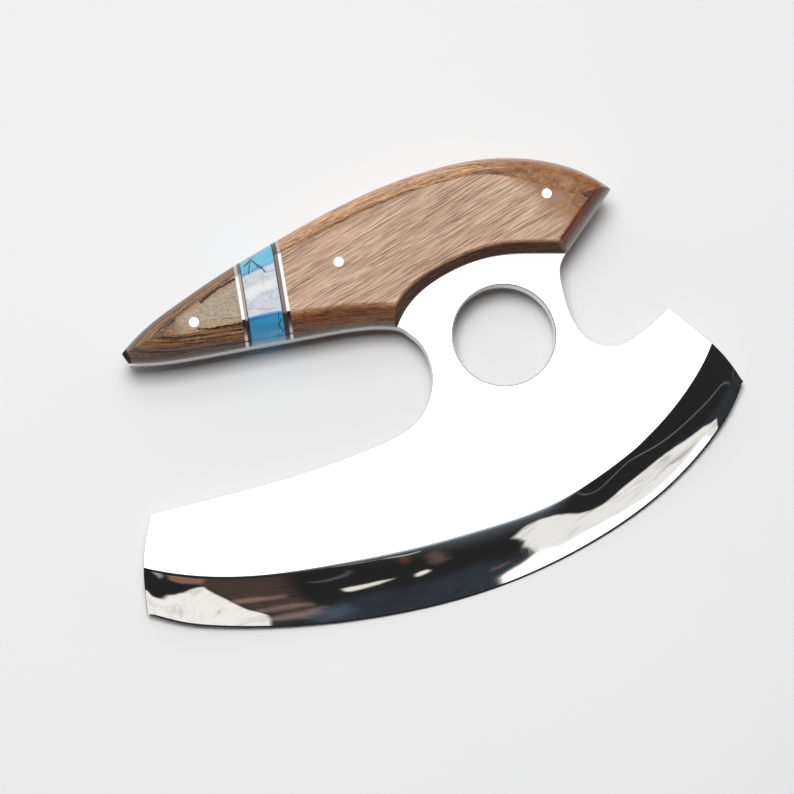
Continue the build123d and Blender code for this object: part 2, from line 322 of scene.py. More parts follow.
class Shell:
    """Collects shared points and faces with a normal of their own at every corner."""

    def __init__(self):
        self.p, self.f, self.n = [], [], []

    def add(self, pts):
        start = len(self.p)
        self.p += [tuple(map(float, q)) for q in pts]
        return np.arange(start, start + len(pts))

    def face(self, idx, nor):
        self.f.append([int(i) for i in idx])
        self.n.append([tuple(map(float, q)) for q in nor])

    def strip(self, a, b, na, nb, closed=False, flip=False):
        """Quads between two index rows, na and nb their normals."""
        n = len(a)
        for i in range(n if closed else n - 1):
            j = (i + 1) % n
            ids, nor = [a[i], a[j], b[j], b[i]], [na[i], na[j], nb[j], nb[i]]
            if flip:
                ids, nor = ids[::-1], nor[::-1]
            keep = [k for k in range(4) if ids[k] != ids[k - 1]]
            if len(keep) >= 3:
                self.face([ids[k] for k in keep], [nor[k] for k in keep])

    def mirrored(self):
        """Adds the z-mirror image of every point and face, and returns each point's mirror index."""
        n = len(self.p)
        base = {}
        for i in range(n):
            x, y, z = self.p[i]
            base[i] = len(self.p)
            self.p.append((x, y, -z))
        for f, nn in list(zip(self.f, self.n)):
            self.f.append([base[i] for i in f[::-1]])
            self.n.append([(a, b, -c) for a, b, c in nn[::-1]])
        return base


def inside(pt, loop):
    x, y = pt
    a, b = loop, np.roll(loop, -1, 0)
    c = (a[:, 1] > y) != (b[:, 1] > y)
    xs = a[:, 0] + (y - a[:, 1]) / np.where(b[:, 1] == a[:, 1], 1e-12, b[:, 1] - a[:, 1]) * (b[:, 0] - a[:, 0])
    return bool((c & (x < xs)).sum() % 2)


def smoothstep(t):
    t = np.clip(t, 0, 1)
    return t * t * (3 - 2 * t)


def build_blade():
    sh = Shell()
    # --- the ground bevel as a grid: u along the edge, v from the shoulder to the narrow bevel
    NU = 420
    par = np.linspace(0, 1, NU)
    feet_q = [where_x(c_cut, x) for x in FEET_X]
    sh_q = [float(c_sh.s[i + 1]) for i in range(len(FEET_X))]
    # the last ruling ends at the corner of the horn
    sh_q = [qs_l] + sh_q[1:] + [qs_h]
    feet_q = [0.0] + feet_q[1:] + [c_cut.length]
    kn = np.linspace(0, 1, len(sh_q))
    kn[-1] = kn[-2] + (kn[1] - kn[0]) * 0.55
    kn = kn / kn[-1]
    f_s = cubic(np.stack([kn * 200, sh_q], 1))
    f_f = cubic(np.stack([kn * 200, feet_q], 1))

    def sample(f):
        q = np.linspace(0, f.length, 6000)
        c = f(q)
        return np.interp(par * 200, c[:, 0], c[:, 1])
    S = c_sh(np.clip(sample(f_s), qs_l, qs_h))
    q_f = np.clip(sample(f_f), 0, c_cut.length)
    C = c_cut(q_f)
    tc = tangents(C)
    nin = np.stack([-tc[:, 1], tc[:, 0]], 1)                   # inward from the cutting edge
    F = C + nin * MICRO
    # side curves, drawn in by the rounding of the plate's edge
    vs = np.concatenate([np.linspace(0, 1, 9)[:-1] ** 1.6 * 0.16, np.linspace(0.16, 1, 19)])
    NV = len(vs)

    def side(curve, qa, qb):
        pts = curve(qa + (qb - qa) * vs)
        t = tangents(pts)
        return pts, t
    Lp, Lt = side(c_left, ql_s, c_left.length)
    Rp, Rt = side(c_horn, qh_s, 0.0)
    W = np.linalg.norm(F - S, axis=1)
    x = S[:, 0]
    blur = 1.7 - 1.15 * smoothstep((x - 118) / 60) - 0.35 * smoothstep((30 - x) / 25)
    crown = 0.30
    fine = np.linspace(0, 1, 400)
    Z = np.zeros((NU, NV))
    for i in range(NU):
        g = smoothstep(fine * W[i] / blur[i]) * (1 + crown * (2 * fine - 1))
        G = np.concatenate([[0], np.cumsum((g[1:] + g[:-1]) / 2)]) * (fine[1] - fine[0])
        Z[i] = HALF - np.interp(vs, fine, G) * (HALF - Z_MICRO) / G[-1]
    r_side = np.minimum(EDGE_R, 0.42 * Z[0])
    Lr = Lp + np.stack([-Lt[:, 1], Lt[:, 0]], 1) * r_side[:, None]      # left edge runs down: inward is left
    r_sideR = np.minimum(EDGE_R, 0.42 * Z[-1])
    Rr = Rp + np.stack([Rt[:, 1], -Rt[:, 0]], 1) * r_sideR[:, None]
    # grid in plan: blend of the four sides
    U, V = par[:, None], vs[None]
    S2, F2 = S.copy(), F.copy()
    ease = np.exp(-par * 90)[:, None]
    easeR = np.exp(-(1 - par) * 90)[:, None]
    S2 += ease * (Lr[0] - S[0]) + easeR * (Rr[0] - S[-1])
    F2 += ease * (Lr[-1] - F[0]) + easeR * (Rr[-1] - F[-1])
    top, bot = S2[:, None, :], F2[:, None, :]
    lef, rig = Lr[None], Rr[None]
    V3, U3 = V[..., None], U[..., None]
    straight_l = (1 - vs)[:, None] * S2[0] + vs[:, None] * F2[0]
    straight_r = (1 - vs)[:, None] * S2[-1] + vs[:, None] * F2[-1]
    G2 = (1 - V3) * top + V3 * bot
    wl = np.clip(1 - par / 0.12, 0, 1)[:, None, None] ** 2
    wr = np.clip(1 - (1 - par) / 0.12, 0, 1)[:, None, None] ** 2
    G2 = G2 + wl * (lef - straight_l[None]) + wr * (rig - straight_r[None])
    P = np.dstack([G2, Z])
    du = np.gradient(P, axis=0)
    dv = np.gradient(P, vs, axis=1)
    Nn = np.cross(dv, du)
    Nn /= np.linalg.norm(Nn, axis=2)[..., None]
    Nn *= np.sign(Nn[..., 2:3])
    Nn[:, 0] = (0, 0, 1)
    gi = sh.add(P.reshape(-1, 3)).reshape(NU, NV)
    for j in range(NV - 1):
        sh.strip(gi[:, j], gi[:, j + 1], Nn[:, j], Nn[:, j + 1], flip=True)
    # --- narrow bevel and the cutting edge itself
    e3 = np.column_stack([C, np.full(NU, Z_EDGE)])
    e3[0, :2] = Lp[-1] + (F2[0] - Lp[-1]) * 0.1
    e3[-1, :2] = Rp[-1] + (F2[-1] - Rp[-1]) * 0.1
    ei = sh.add(e3)
    d = e3 - P[:, -1]
    mn = np.cross(d, np.gradient(e3, axis=0))
    mn /= np.linalg.norm(mn, axis=1)[:, None]
    mn *= np.sign(mn[:, 2:3])
    sh.strip(gi[:, -1], ei, mn, mn, flip=True)
    # --- outline above the bevel: (points, corner flags)
    upper = [dense(c_horn, qh_s, c_horn.length, 0.8), dense(c_neck_h, 0, c_neck_h.length, 0.6),
             np.linspace(END_LOW, c_back(q_be)[0], 20), dense(c_back, q_be, q_bt, 0.9),
             np.linspace(c_back(q_bt)[0], c_low(q_lt)[0], 6), dense(c_low, q_lt, q_la, 0.9),
             dense(c_neck, 0, c_neck.length, 0.6), dense(c_left, 0, ql_s, 0.6)]
    loop = [upper[0][0]]
    for seg in upper:
        loop += list(seg[1:])
    loop = np.array(loop)
    # inward offset by mitre
    seg = np.diff(loop, axis=0)
    seg /= np.linalg.norm(seg, axis=1)[:, None]
    nl = np.stack([-seg[:, 1], seg[:, 0]], 1)
    n0, n1 = np.vstack([nl[:1], nl]), np.vstack([nl, nl[-1:]])
    nb = n0 + n1
    nb /= np.linalg.norm(nb, axis=1)[:, None]
    mit = nb / np.clip((nb * n0).sum(1), 0.5, 1)[:, None]
    inner = loop + mit * EDGE_R
    inner[0], inner[-1] = Rr[0], Lr[0]
    outn = np.column_stack([-nb, np.zeros(len(nb))])
    ii = np.concatenate([[gi[-1, 0]], sh.add(np.column_stack([inner[1:-1], np.full(len(inner) - 2, HALF)])), [gi[0, 0]]])
    # --- rounding down to the side wall: bevel's right side, outline, bevel's left side
    right_in, right_out = gi[::1][-1][::-1], Rp[::-1]
    ro = np.column_stack([(Rt[:, 1]), (-Rt[:, 0]), np.zeros(NV)])
    ro = -ro[::-1]
    left_out = Lp
    lo_n = np.column_stack([Lt[:, 1], -Lt[:, 0], np.zeros(NV)])
    idx_in = np.concatenate([right_in[:-1], ii, gi[0][1:]])
    out_xy = np.vstack([right_out[:-1], loop, left_out[1:]])
    z_top = np.concatenate([Z[-1][::-1][:-1], np.full(len(loop), HALF), Z[0][1:]])
    rr = np.concatenate([r_sideR[::-1][:-1], np.full(len(loop), EDGE_R), r_side[1:]])
    n_top = np.vstack([Nn[-1][::-1][:-1], np.tile((0, 0, 1.0), (len(loop), 1)), Nn[0][1:]])
    n_out = np.vstack([ro[:-1], outn, lo_n[1:]])
    in_xy = np.array([sh.p[i][:2] for i in idx_in])
    prev, pn = idx_in, n_top
    ends = [[idx_in[0]], [idx_in[-1]]]
    for k in range(1, 5):
        a = math.pi / 2 * k / 4
        xy = in_xy + (out_xy - in_xy) * math.sin(a)
        z = z_top - rr * (1 - math.cos(a))
        cur = sh.add(np.column_stack([xy, z]))
        nn = n_top * math.cos(a) + n_out * math.sin(a)
        nn /= np.linalg.norm(nn, axis=1)[:, None]
        sh.strip(prev, cur, pn, nn)
        prev, pn = cur, nn
        ends[0].append(cur[0])
        ends[1].append(cur[-1])
    wall = prev
    wall_n = n_out
    # small end faces that join the rounding to the cutting edge's ends
    sh.face(ends[0] + [ei[-1]], [n_top[0]] + [n_out[0]] * 4 + [mn[-1]])
    sh.face(ends[1] + [ei[0]], [n_top[-1]] + [n_out[-1]] * 4 + [mn[0]])
    # --- flat face with its holes
    shoulder_ids = gi[:, 0]
    outer_ids = np.concatenate([shoulder_ids, ii[1:-1]])
    loops = [outer_ids]
    nf = 200
    th = np.linspace(0, 2 * math.pi, nf, endpoint=False)
    ring_n = np.column_stack([-np.cos(th), -np.sin(th), np.zeros(nf)])
    rim0 = sh.add(np.column_stack([FINGER_C[0] + (FINGER_R + RIM_R) * np.cos(th),
                                   FINGER_C[1] + (FINGER_R + RIM_R) * np.sin(th), np.full(nf, HALF)]))
    loops.append(rim0)
    prev, pn = rim0, np.tile((0, 0, 1.0), (nf, 1))
    for k in range(1, 7):
        a = math.pi / 2 * k / 6
        R = FINGER_R + RIM_R * (1 - math.sin(a))
        cur = sh.add(np.column_stack([FINGER_C[0] + R * np.cos(th), FINGER_C[1] + R * np.sin(th),
                                      np.full(nf, HALF - RIM_R * (1 - math.cos(a)))]))
        nn = np.column_stack([ring_n[:, :2] * math.sin(a), np.full(nf, math.cos(a))])
        sh.strip(prev, cur, pn, nn, closed=True, flip=True)
        prev, pn = cur, nn
    hole_wall = prev
    pin_walls = []
    npn = 40
    tp = np.linspace(0, 2 * math.pi, npn, endpoint=False)
    for cx, cy in PIN_XY:
        w = sh.add(np.column_stack([cx + 1.5875 * np.cos(tp), cy + 1.5875 * np.sin(tp), np.full(npn, HALF)]))
        loops.append(w)
        pin_walls.append(w)
    pts, edges, back_id = [], [], []
    for lp in loops:
        b = len(pts)
        for i in lp:
            pts.append(Vector(sh.p[i][:2]))
            back_id.append(int(i))
        edges += [(b + k, b + (k + 1) % len(lp)) for k in range(len(lp))]
    vo, _, fo, ov, _, _ = delaunay_2d_cdt(pts, edges, [], 0, 1e-5)
    lp_xy = [np.array([sh.p[i][:2] for i in lp]) for lp in loops]
    up = (0, 0, 1.0)
    for tri in fo:
        c = np.mean([[vo[k].x, vo[k].y] for k in tri], axis=0)
        if inside(c, lp_xy[0]) and not any(inside(c, q) for q in lp_xy[1:]):
            ids = [back_id[ov[k][0]] for k in tri]
            a, b, d2 = (np.array(sh.p[i][:2]) for i in ids)
            if (b[0] - a[0]) * (d2[1] - a[1]) - (b[1] - a[1]) * (d2[0] - a[0]) < 0:
                ids = ids[::-1]
            sh.face(ids, [up] * 3)
    # --- the other face, and the walls between the two
    base = sh.mirrored()
    low = np.array([base[int(i)] for i in wall])
    sh.strip(wall, low, wall_n, wall_n)
    elow = np.array([base[int(i)] for i in ei])
    en = np.column_stack([-nin, np.zeros(NU)])
    sh.strip(ei, elow, en, en, flip=True)
    for a, b in ((wall[0], ei[-1]), (ei[0], wall[-1])):
        n = wall_n[0] if a == wall[0] else wall_n[-1]
        sh.face([a, base[int(a)], base[int(b)], b], [n] * 4)
    hl = np.array([base[int(i)] for i in hole_wall])
    sh.strip(hole_wall, hl, ring_n, ring_n, closed=True, flip=True)
    for w in pin_walls:
        pn2 = np.column_stack([-np.cos(tp), -np.sin(tp), np.zeros(npn)])
        sh.strip(w, np.array([base[int(i)] for i in w]), pn2, pn2, closed=True, flip=True)
    # every face turns the way its corners' normals point
    for k, (f, nn) in enumerate(zip(sh.f, sh.n)):
        q = np.array([sh.p[i] for i in f])
        g = sum(np.cross(q[i] - q[0], q[i + 1] - q[0]) for i in range(1, len(f) - 1))
        if g @ np.mean(nn, axis=0) < 0:
            sh.f[k], sh.n[k] = f[::-1], nn[::-1]
    return sh, gi, base


def make_object(name, sh, uv=None):
    me = bpy.data.meshes.new(name)
    me.from_pydata([tuple(q) for q in row(sh.p)], [], sh.f)
    for poly in me.polygons:
        poly.use_smooth = True
    nor = np.array([q for f in sh.n for q in f]) @ K2R_NP.T
    me.normals_split_custom_set([tuple(q) for q in nor])
    me.update()
    ob = bpy.data.objects.new(name, me)
    bpy.context.scene.collection.objects.link(ob)
    return ob


shell, grid_ids, twin = build_blade()
blade = make_object("blade_polished", shell)
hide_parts("blade")
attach(blade, "root")

# where on the bevel a point is: u along the edge in mm, v from the shoulder (0) to the edge (1)
att = blade.data.attributes.new("bevel_uv", "FLOAT_VECTOR", "POINT")
vals = np.zeros((len(shell.p), 3), np.float32)
vals[:, 0] = -50.0
vals[:, 1] = -1.0
nu, nv = grid_ids.shape
gp = np.array([shell.p[i] for i in grid_ids[:, -1]])
arc = np.concatenate([[0], np.cumsum(np.linalg.norm(np.diff(gp, axis=0), axis=1))])
gv = np.linalg.norm(np.diff(np.array([[shell.p[i] for i in r] for r in grid_ids]), axis=1), axis=2)
gv = np.concatenate([np.zeros((nu, 1)), np.cumsum(gv, axis=1)], axis=1)
for i in range(nu):
    for j in range(nv):
        k = int(grid_ids[i, j])
        vals[k] = vals[twin[k]] = (arc[i], gv[i, j], gv[i, j] / gv[i, -1])
att.data.foreach_set("vector", vals.ravel())

# ---------------------------------------------------------------------------
# Materials
# ---------------------------------------------------------------------------


def grain(t, k, angle):
    """Coordinates whose x runs along the wood's grain, a few degrees off the chord."""
    return t.map(k, rot=(0, 0, -math.radians(angle)))


def streak(t, x, y, lx, ly, seed, detail=2.0, rough=0.55, distort=0.0):
    """Noise drawn out along x: lx and ly are the length and width of its cells in mm."""
    return t.noise(t.vec(t.m("MULTIPLY", x, 1 / lx), t.m("MULTIPLY", y, 1 / ly), seed), 1.0, detail, rough, distort)


def sway(t, n, amount):
    """A noise centred on zero and scaled."""
    return t.m("MULTIPLY", t.m("SUBTRACT", n, 0.5), amount)


def grey(t, val):
    return t.vec(val, val, val)


def layers(t, depth, stops):
    """Colour by depth in the stack of veneers, depth in mm."""
    return t.ramp(t.m("DIVIDE", depth, 13.0), [(p / 13.0, c) for p, c in stops])


def segment(t, p, a, b, width, fade=0.5):
    """1 on a straight hairline from a to b in the knife's plane (mm), 0 off it."""
    ax, ay = a
    bx, by = b
    dx, dy = bx - ax, by - ay
    pa = t.v("SUBTRACT", p, (ax, ay, 0))
    h = t.m("MULTIPLY", t.v("DOT_PRODUCT", pa, (dx, dy, 0)), 1 / (dx * dx + dy * dy), clamp=True)
    d = t.v("LENGTH", t.v("SUBTRACT", pa, t.v("SCALE", (dx, dy, 0), scale=h)))
    return t.span(d, width * (1 - fade), width * (1 + fade), 1.0, 0.0)


def hairlines(t, p, lines, fade=0.5):
    """The strongest of several hairlines, each (from, to, half width, strength)."""
    best = None
    for a, b, w, s in lines:
        one = t.m("MULTIPLY", segment(t, p, a, b, w, fade), s)
        best = one if best is None else t.m("MAXIMUM", best, one)
    return best


def ragged(t, k, scale, amount):
    """The knife-plane position, shaken a little so that lines drawn on it look grown."""
    shake = t.node("ShaderNodeTexNoise", {"Vector": k, "Scale": scale, "Detail": 3.0}).outputs["Color"]
    p = t.v("ADD", k, t.v("SCALE", t.v("SUBTRACT", shake, (0.5, 0.5, 0.5)), scale=amount))
    return t.v("MULTIPLY", p, (1, 1, 0))


# resin-bonded laminate: veneers stacked through the thickness of the scale. The walls cut
# through them. Depths in mm from the middle of the plate. Each wall has its own ramp, and
# the differences are partly the veneers' colour and partly painted shade: the finger side,
# the arch and the end are darker than the back. The dark band at 10.9 to 11.1 mm on the
# back is painted crease shade.
MAIN_BACK = [(2.0, (0.48, 0.32, 0.225)), (5.5, (0.48, 0.305, 0.21)), (7.2, (0.49, 0.30, 0.19)),
             (8.4, (0.52, 0.305, 0.165)), (9.3, (0.49, 0.27, 0.135)), (10.0, (0.49, 0.27, 0.137)),
             (10.5, (0.48, 0.27, 0.142)), (10.9, (0.29, 0.15, 0.080)), (11.1, (0.27, 0.14, 0.080)),
             (11.4, (0.36, 0.21, 0.13))]
MAIN_LOW_SHADED = [(2.0, (0.10, 0.06, 0.045)), (5.0, (0.14, 0.07, 0.045)), (6.5, (0.22, 0.11, 0.065)),
            (7.5, (0.21, 0.085, 0.04)), (8.4, (0.19, 0.065, 0.025)), (9.0, (0.17, 0.06, 0.022)),
            (9.8, (0.19, 0.075, 0.03)), (10.4, (0.235, 0.095, 0.038)), (10.9, (0.36, 0.19, 0.10)),
            (11.3, (0.44, 0.27, 0.165))]
MAIN_ARCH = [(2.0, (0.26, 0.17, 0.125)), (4.0, (0.225, 0.138, 0.092)), (6.5, (0.226, 0.12, 0.078)),
             (7.5, (0.22, 0.12, 0.08)), (8.3, (0.25, 0.14, 0.09)), (8.6, (0.12, 0.06, 0.04)),
             (9.0, (0.24, 0.13, 0.08)), (9.8, (0.22, 0.10, 0.055)), (10.45, (0.21, 0.085, 0.035)),
             (10.85, (0.34, 0.165, 0.085)), (11.1, (0.42, 0.25, 0.16))]
MAIN_END_SHADED = [(2.0, (0.20, 0.14, 0.12)), (5.0, (0.17, 0.10, 0.075)), (7.5, (0.15, 0.065, 0.045)),
            (9.5, (0.13, 0.045, 0.028)), (10.7, (0.15, 0.045, 0.020)), (11.3, (0.20, 0.07, 0.03))]


def laminate_main():
    mat, t, bsdf = material("laminate_main", Roughness=0.25, Specular_IOR_Level=0.35, Coat_Weight=0.13,
                            Coat_Roughness=0.10)
    k = knife_mm(t)
    kx, ky, kz = t.xyz(k)
    z = t.m("ABSOLUTE", kz)
    gx, gy, _ = t.xyz(grain(t, k, 10.5))
    gy = t.m("ADD", gy, sway(t, streak(t, kx, ky, 60.0, 34.0, 1.3, 1.0), 2.0))
    jag = sway(t, streak(t, kx, ky, 1.5, 0.8, 5.1, 3.0, 0.65), 1.0)
    zl = t.m("ADD", z, sway(t, streak(t, kx, ky, 26.0, 9.0, 2.2, 3.0), 1.2))
    zl = t.m("ADD", zl, t.m("MULTIPLY", jag, 0.35))
    # which wall of the scale: the back, the finger side, the arch or the blade-side end
    past = t.m("MINIMUM", t.m("MAXIMUM", t.m("SUBTRACT", kx, 160.0), 0.0), 18.0)
    low = t.span(t.m("ADD", t.m("SUBTRACT", ky, 80.0), t.m("MULTIPLY", past, 0.30)), 0.4, -0.4)
    in_arch = t.span(kx, 107.2, 107.9)
    in_end = t.span(t.m("ADD", kx, t.m("MULTIPLY", t.m("SUBTRACT", ky, 59.6), 0.4)), 167.15, 167.45)
    in_end = t.m("MULTIPLY", in_end, low)
    # the finger side, arch and end take darker ramps than the back: partly the veneers, partly painted shade
    wall = t.mix(in_arch, layers(t, zl, MAIN_LOW_SHADED), layers(t, zl, MAIN_ARCH))
    wall = t.mix(low, layers(t, zl, MAIN_BACK), wall)
    wall = t.mix(in_end, wall, layers(t, zl, MAIN_END_SHADED))
    # streaks that follow the cut veneers
    s1 = streak(t, kx, zl, 9.0, 0.55, 7.7, 3.0, 0.62)
    s2 = streak(t, kx, zl, 2.2, 0.22, 9.9, 2.0, 0.6)
    tone = t.m("ADD", 1.0, t.m("ADD", sway(t, s1, 2.7), sway(t, s2, 2.3)))
    wall = t.mix(1.0, wall, grey(t, tone), "MULTIPLY")
    fleck = t.span(streak(t, kx, zl, 5.0, 0.30, 12.1, 2.0, 0.55), 0.56, 0.68, 0.0, 0.62)
    wall = t.mix(fleck, wall, (0.10, 0.045, 0.022))
    saw = t.m("ABSOLUTE", t.m("SUBTRACT", t.m("FRACT", t.m("MULTIPLY", zl, 1 / 0.78)), 0.5))
    fine_line = t.m("MULTIPLY", t.span(saw, 0.06, 0.20, 1.0, 0.0), t.m("MULTIPLY", low, t.span(z, 10.6, 9.2, 0.0, 0.42)))
    wall = t.mix(fine_line, wall, (0.055, 0.025, 0.018))
    # the flat face: long dark pores in paler wood
    broad = streak(t, gx, gy, 40.0, 4.5, 3.3, 2.0, 0.5)
    face = t.ramp(broad, [(0.30, (0.530, 0.335, 0.218)), (0.50, (0.600, 0.392, 0.262)), (0.72, (0.660, 0.452, 0.312))])
    fib = streak(t, gx, gy, 5.0, 0.33, 4.4, 2.0, 0.6)
    face = t.mix(1.0, face, grey(t, t.m("ADD", 1.0, sway(t, fib, 1.0))), "MULTIPLY")
    pore_a = t.span(streak(t, gx, gy, 15.0, 0.33, 6.6, 0.0, 0.4), 0.55, 0.64)
    pore_b = t.span(streak(t, gx, gy, 9.0, 0.26, 8.8, 0.0, 0.4), 0.55, 0.66, 0.0, 0.95)
    keep = t.span(streak(t, gx, gy, 14.0, 5.0, 2.7, 2.0), 0.32, 0.60, 0.74, 1.0)
    pores = t.m("MULTIPLY", t.m("MAXIMUM", pore_a, pore_b), keep)
    bead = t.span(streak(t, kx, ky, 0.42, 0.42, 14.2, 1.0), 0.35, 0.65, 0.72, 1.0)
    pores = t.m("MULTIPLY", pores, bead)
    face = t.mix(t.m("MULTIPLY", pores, 0.72), face, (0.090, 0.045, 0.030))
    on_face = t.span(t.m("ADD", z, t.m("MULTIPLY", jag, 0.28)), 11.02, 11.29)
    col = t.mix(on_face, wall, face)
    # burl towards the blade-side corner
    b1 = t.noise(t.map(k, scale=(0.30, 0.55, 0.55)), 1.0, 4.0, 0.65, 1.2)
    b2 = t.noise(t.map(k, scale=(1.6, 2.6, 2.6)), 1.0, 3.0, 0.6)
    burl = t.ramp(t.m("ADD", b1, sway(t, b2, 0.55)),
                  [(0.24, (0.100, 0.036, 0.012)), (0.42, (0.22, 0.090, 0.030)), (0.57, (0.34, 0.160, 0.060)),
                   (0.76, (0.50, 0.275, 0.120))])
    burl = t.mix(t.span(b2, 0.56, 0.68, 0.0, 0.45), burl, (0.110, 0.048, 0.022))
    burl = t.mix(t.span(kx, 179.5, 185.5), burl, (0.14, 0.045, 0.020))
    edge = t.m("ADD", t.m("ADD", kx, t.m("MULTIPLY", t.m("SUBTRACT", ky, 78.0), 0.55)), sway(t, b1, 9.0))
    in_burl = t.m("MULTIPLY", t.span(edge, 161.0, 169.0), t.span(zl, 6.4, 8.4))
    in_burl = t.m("MULTIPLY", in_burl, t.m("SUBTRACT", 1.0, t.m("MULTIPLY", in_end, t.m("SUBTRACT", 1.0, on_face))))
    col = t.mix(t.m("MULTIPLY", in_burl, 0.92), col, burl)
    off = t.m("ADD", t.v("LENGTH", t.v("SUBTRACT", t.v("MULTIPLY", k, (1, 1, 0)), (170.0, 75.8, 0))), sway(t, b1, 5.0))
    col = t.mix(t.span(off, 3.6, 1.2, 0.0, 0.80), col, (0.33, 0.195, 0.135))
    marks = hairlines(t, ragged(t, k, 0.8, 1.2), [
        ((144.5, 97.6), (149.5, 96.6), 0.20, 0.7), ((150.0, 96.2), (155.5, 94.6), 0.26, 0.8),
        ((146.0, 96.2), (151.5, 95.0), 0.12, 0.6), ((109.5, 97.4), (112.0, 97.6), 0.30, 0.35)], 0.7)
    col = t.mix(marks, col, (0.09, 0.045, 0.025))
    link(t, col, bsdf.inputs["Base Color"])
    height = t.m("SUBTRACT", t.m("MULTIPLY", fib, 0.4), t.m("MULTIPLY", pores, on_face))
    link(t, t.bump(height, 0.5, 0.00004), bsdf.inputs["Normal"])
    return mat


SMOKE, UMBER, TANNED, RUST, OLIVE, PITCH = ((0.175, 0.110, 0.082), (0.21, 0.135, 0.105), (0.34, 0.235, 0.175),
                                            (0.43, 0.165, 0.060), (0.34, 0.250, 0.135), (0.055, 0.028, 0.016))
CAP_LAYERS = [(2.0, (0.235, 0.110, 0.075)), (4.2, (0.235, 0.110, 0.075)), (4.9, SMOKE), (5.8, (0.17, 0.108, 0.078)),
              (6.15, (0.22, 0.15, 0.115)), (6.6, (0.37, 0.26, 0.205)), (7.1, UMBER), (7.5, PITCH), (7.75, UMBER),
              (8.05, TANNED), (8.25, UMBER), (8.42, (0.09, 0.045, 0.028)), (8.75, (0.28, 0.19, 0.12)),
              (9.12, (0.19, 0.095, 0.048)), (9.3, (0.34, 0.150, 0.060)), (9.52, RUST), (9.68, (0.30, 0.115, 0.042)),
              (9.82, (0.10, 0.040, 0.018)), (10.0, (0.26, 0.135, 0.07)), (10.25, OLIVE), (10.5, (0.30, 0.20, 0.125)),
              (10.68, PITCH), (10.85, (0.25, 0.145, 0.08)), (11.12, (0.39, 0.165, 0.070)), (11.30, (0.28, 0.115, 0.050)),
              (11.42, (0.20, 0.10, 0.05)), (11.56, (0.36, 0.255, 0.165)), (11.9, (0.43, 0.335, 0.235)),
              (12.9, (0.44, 0.345, 0.25))]


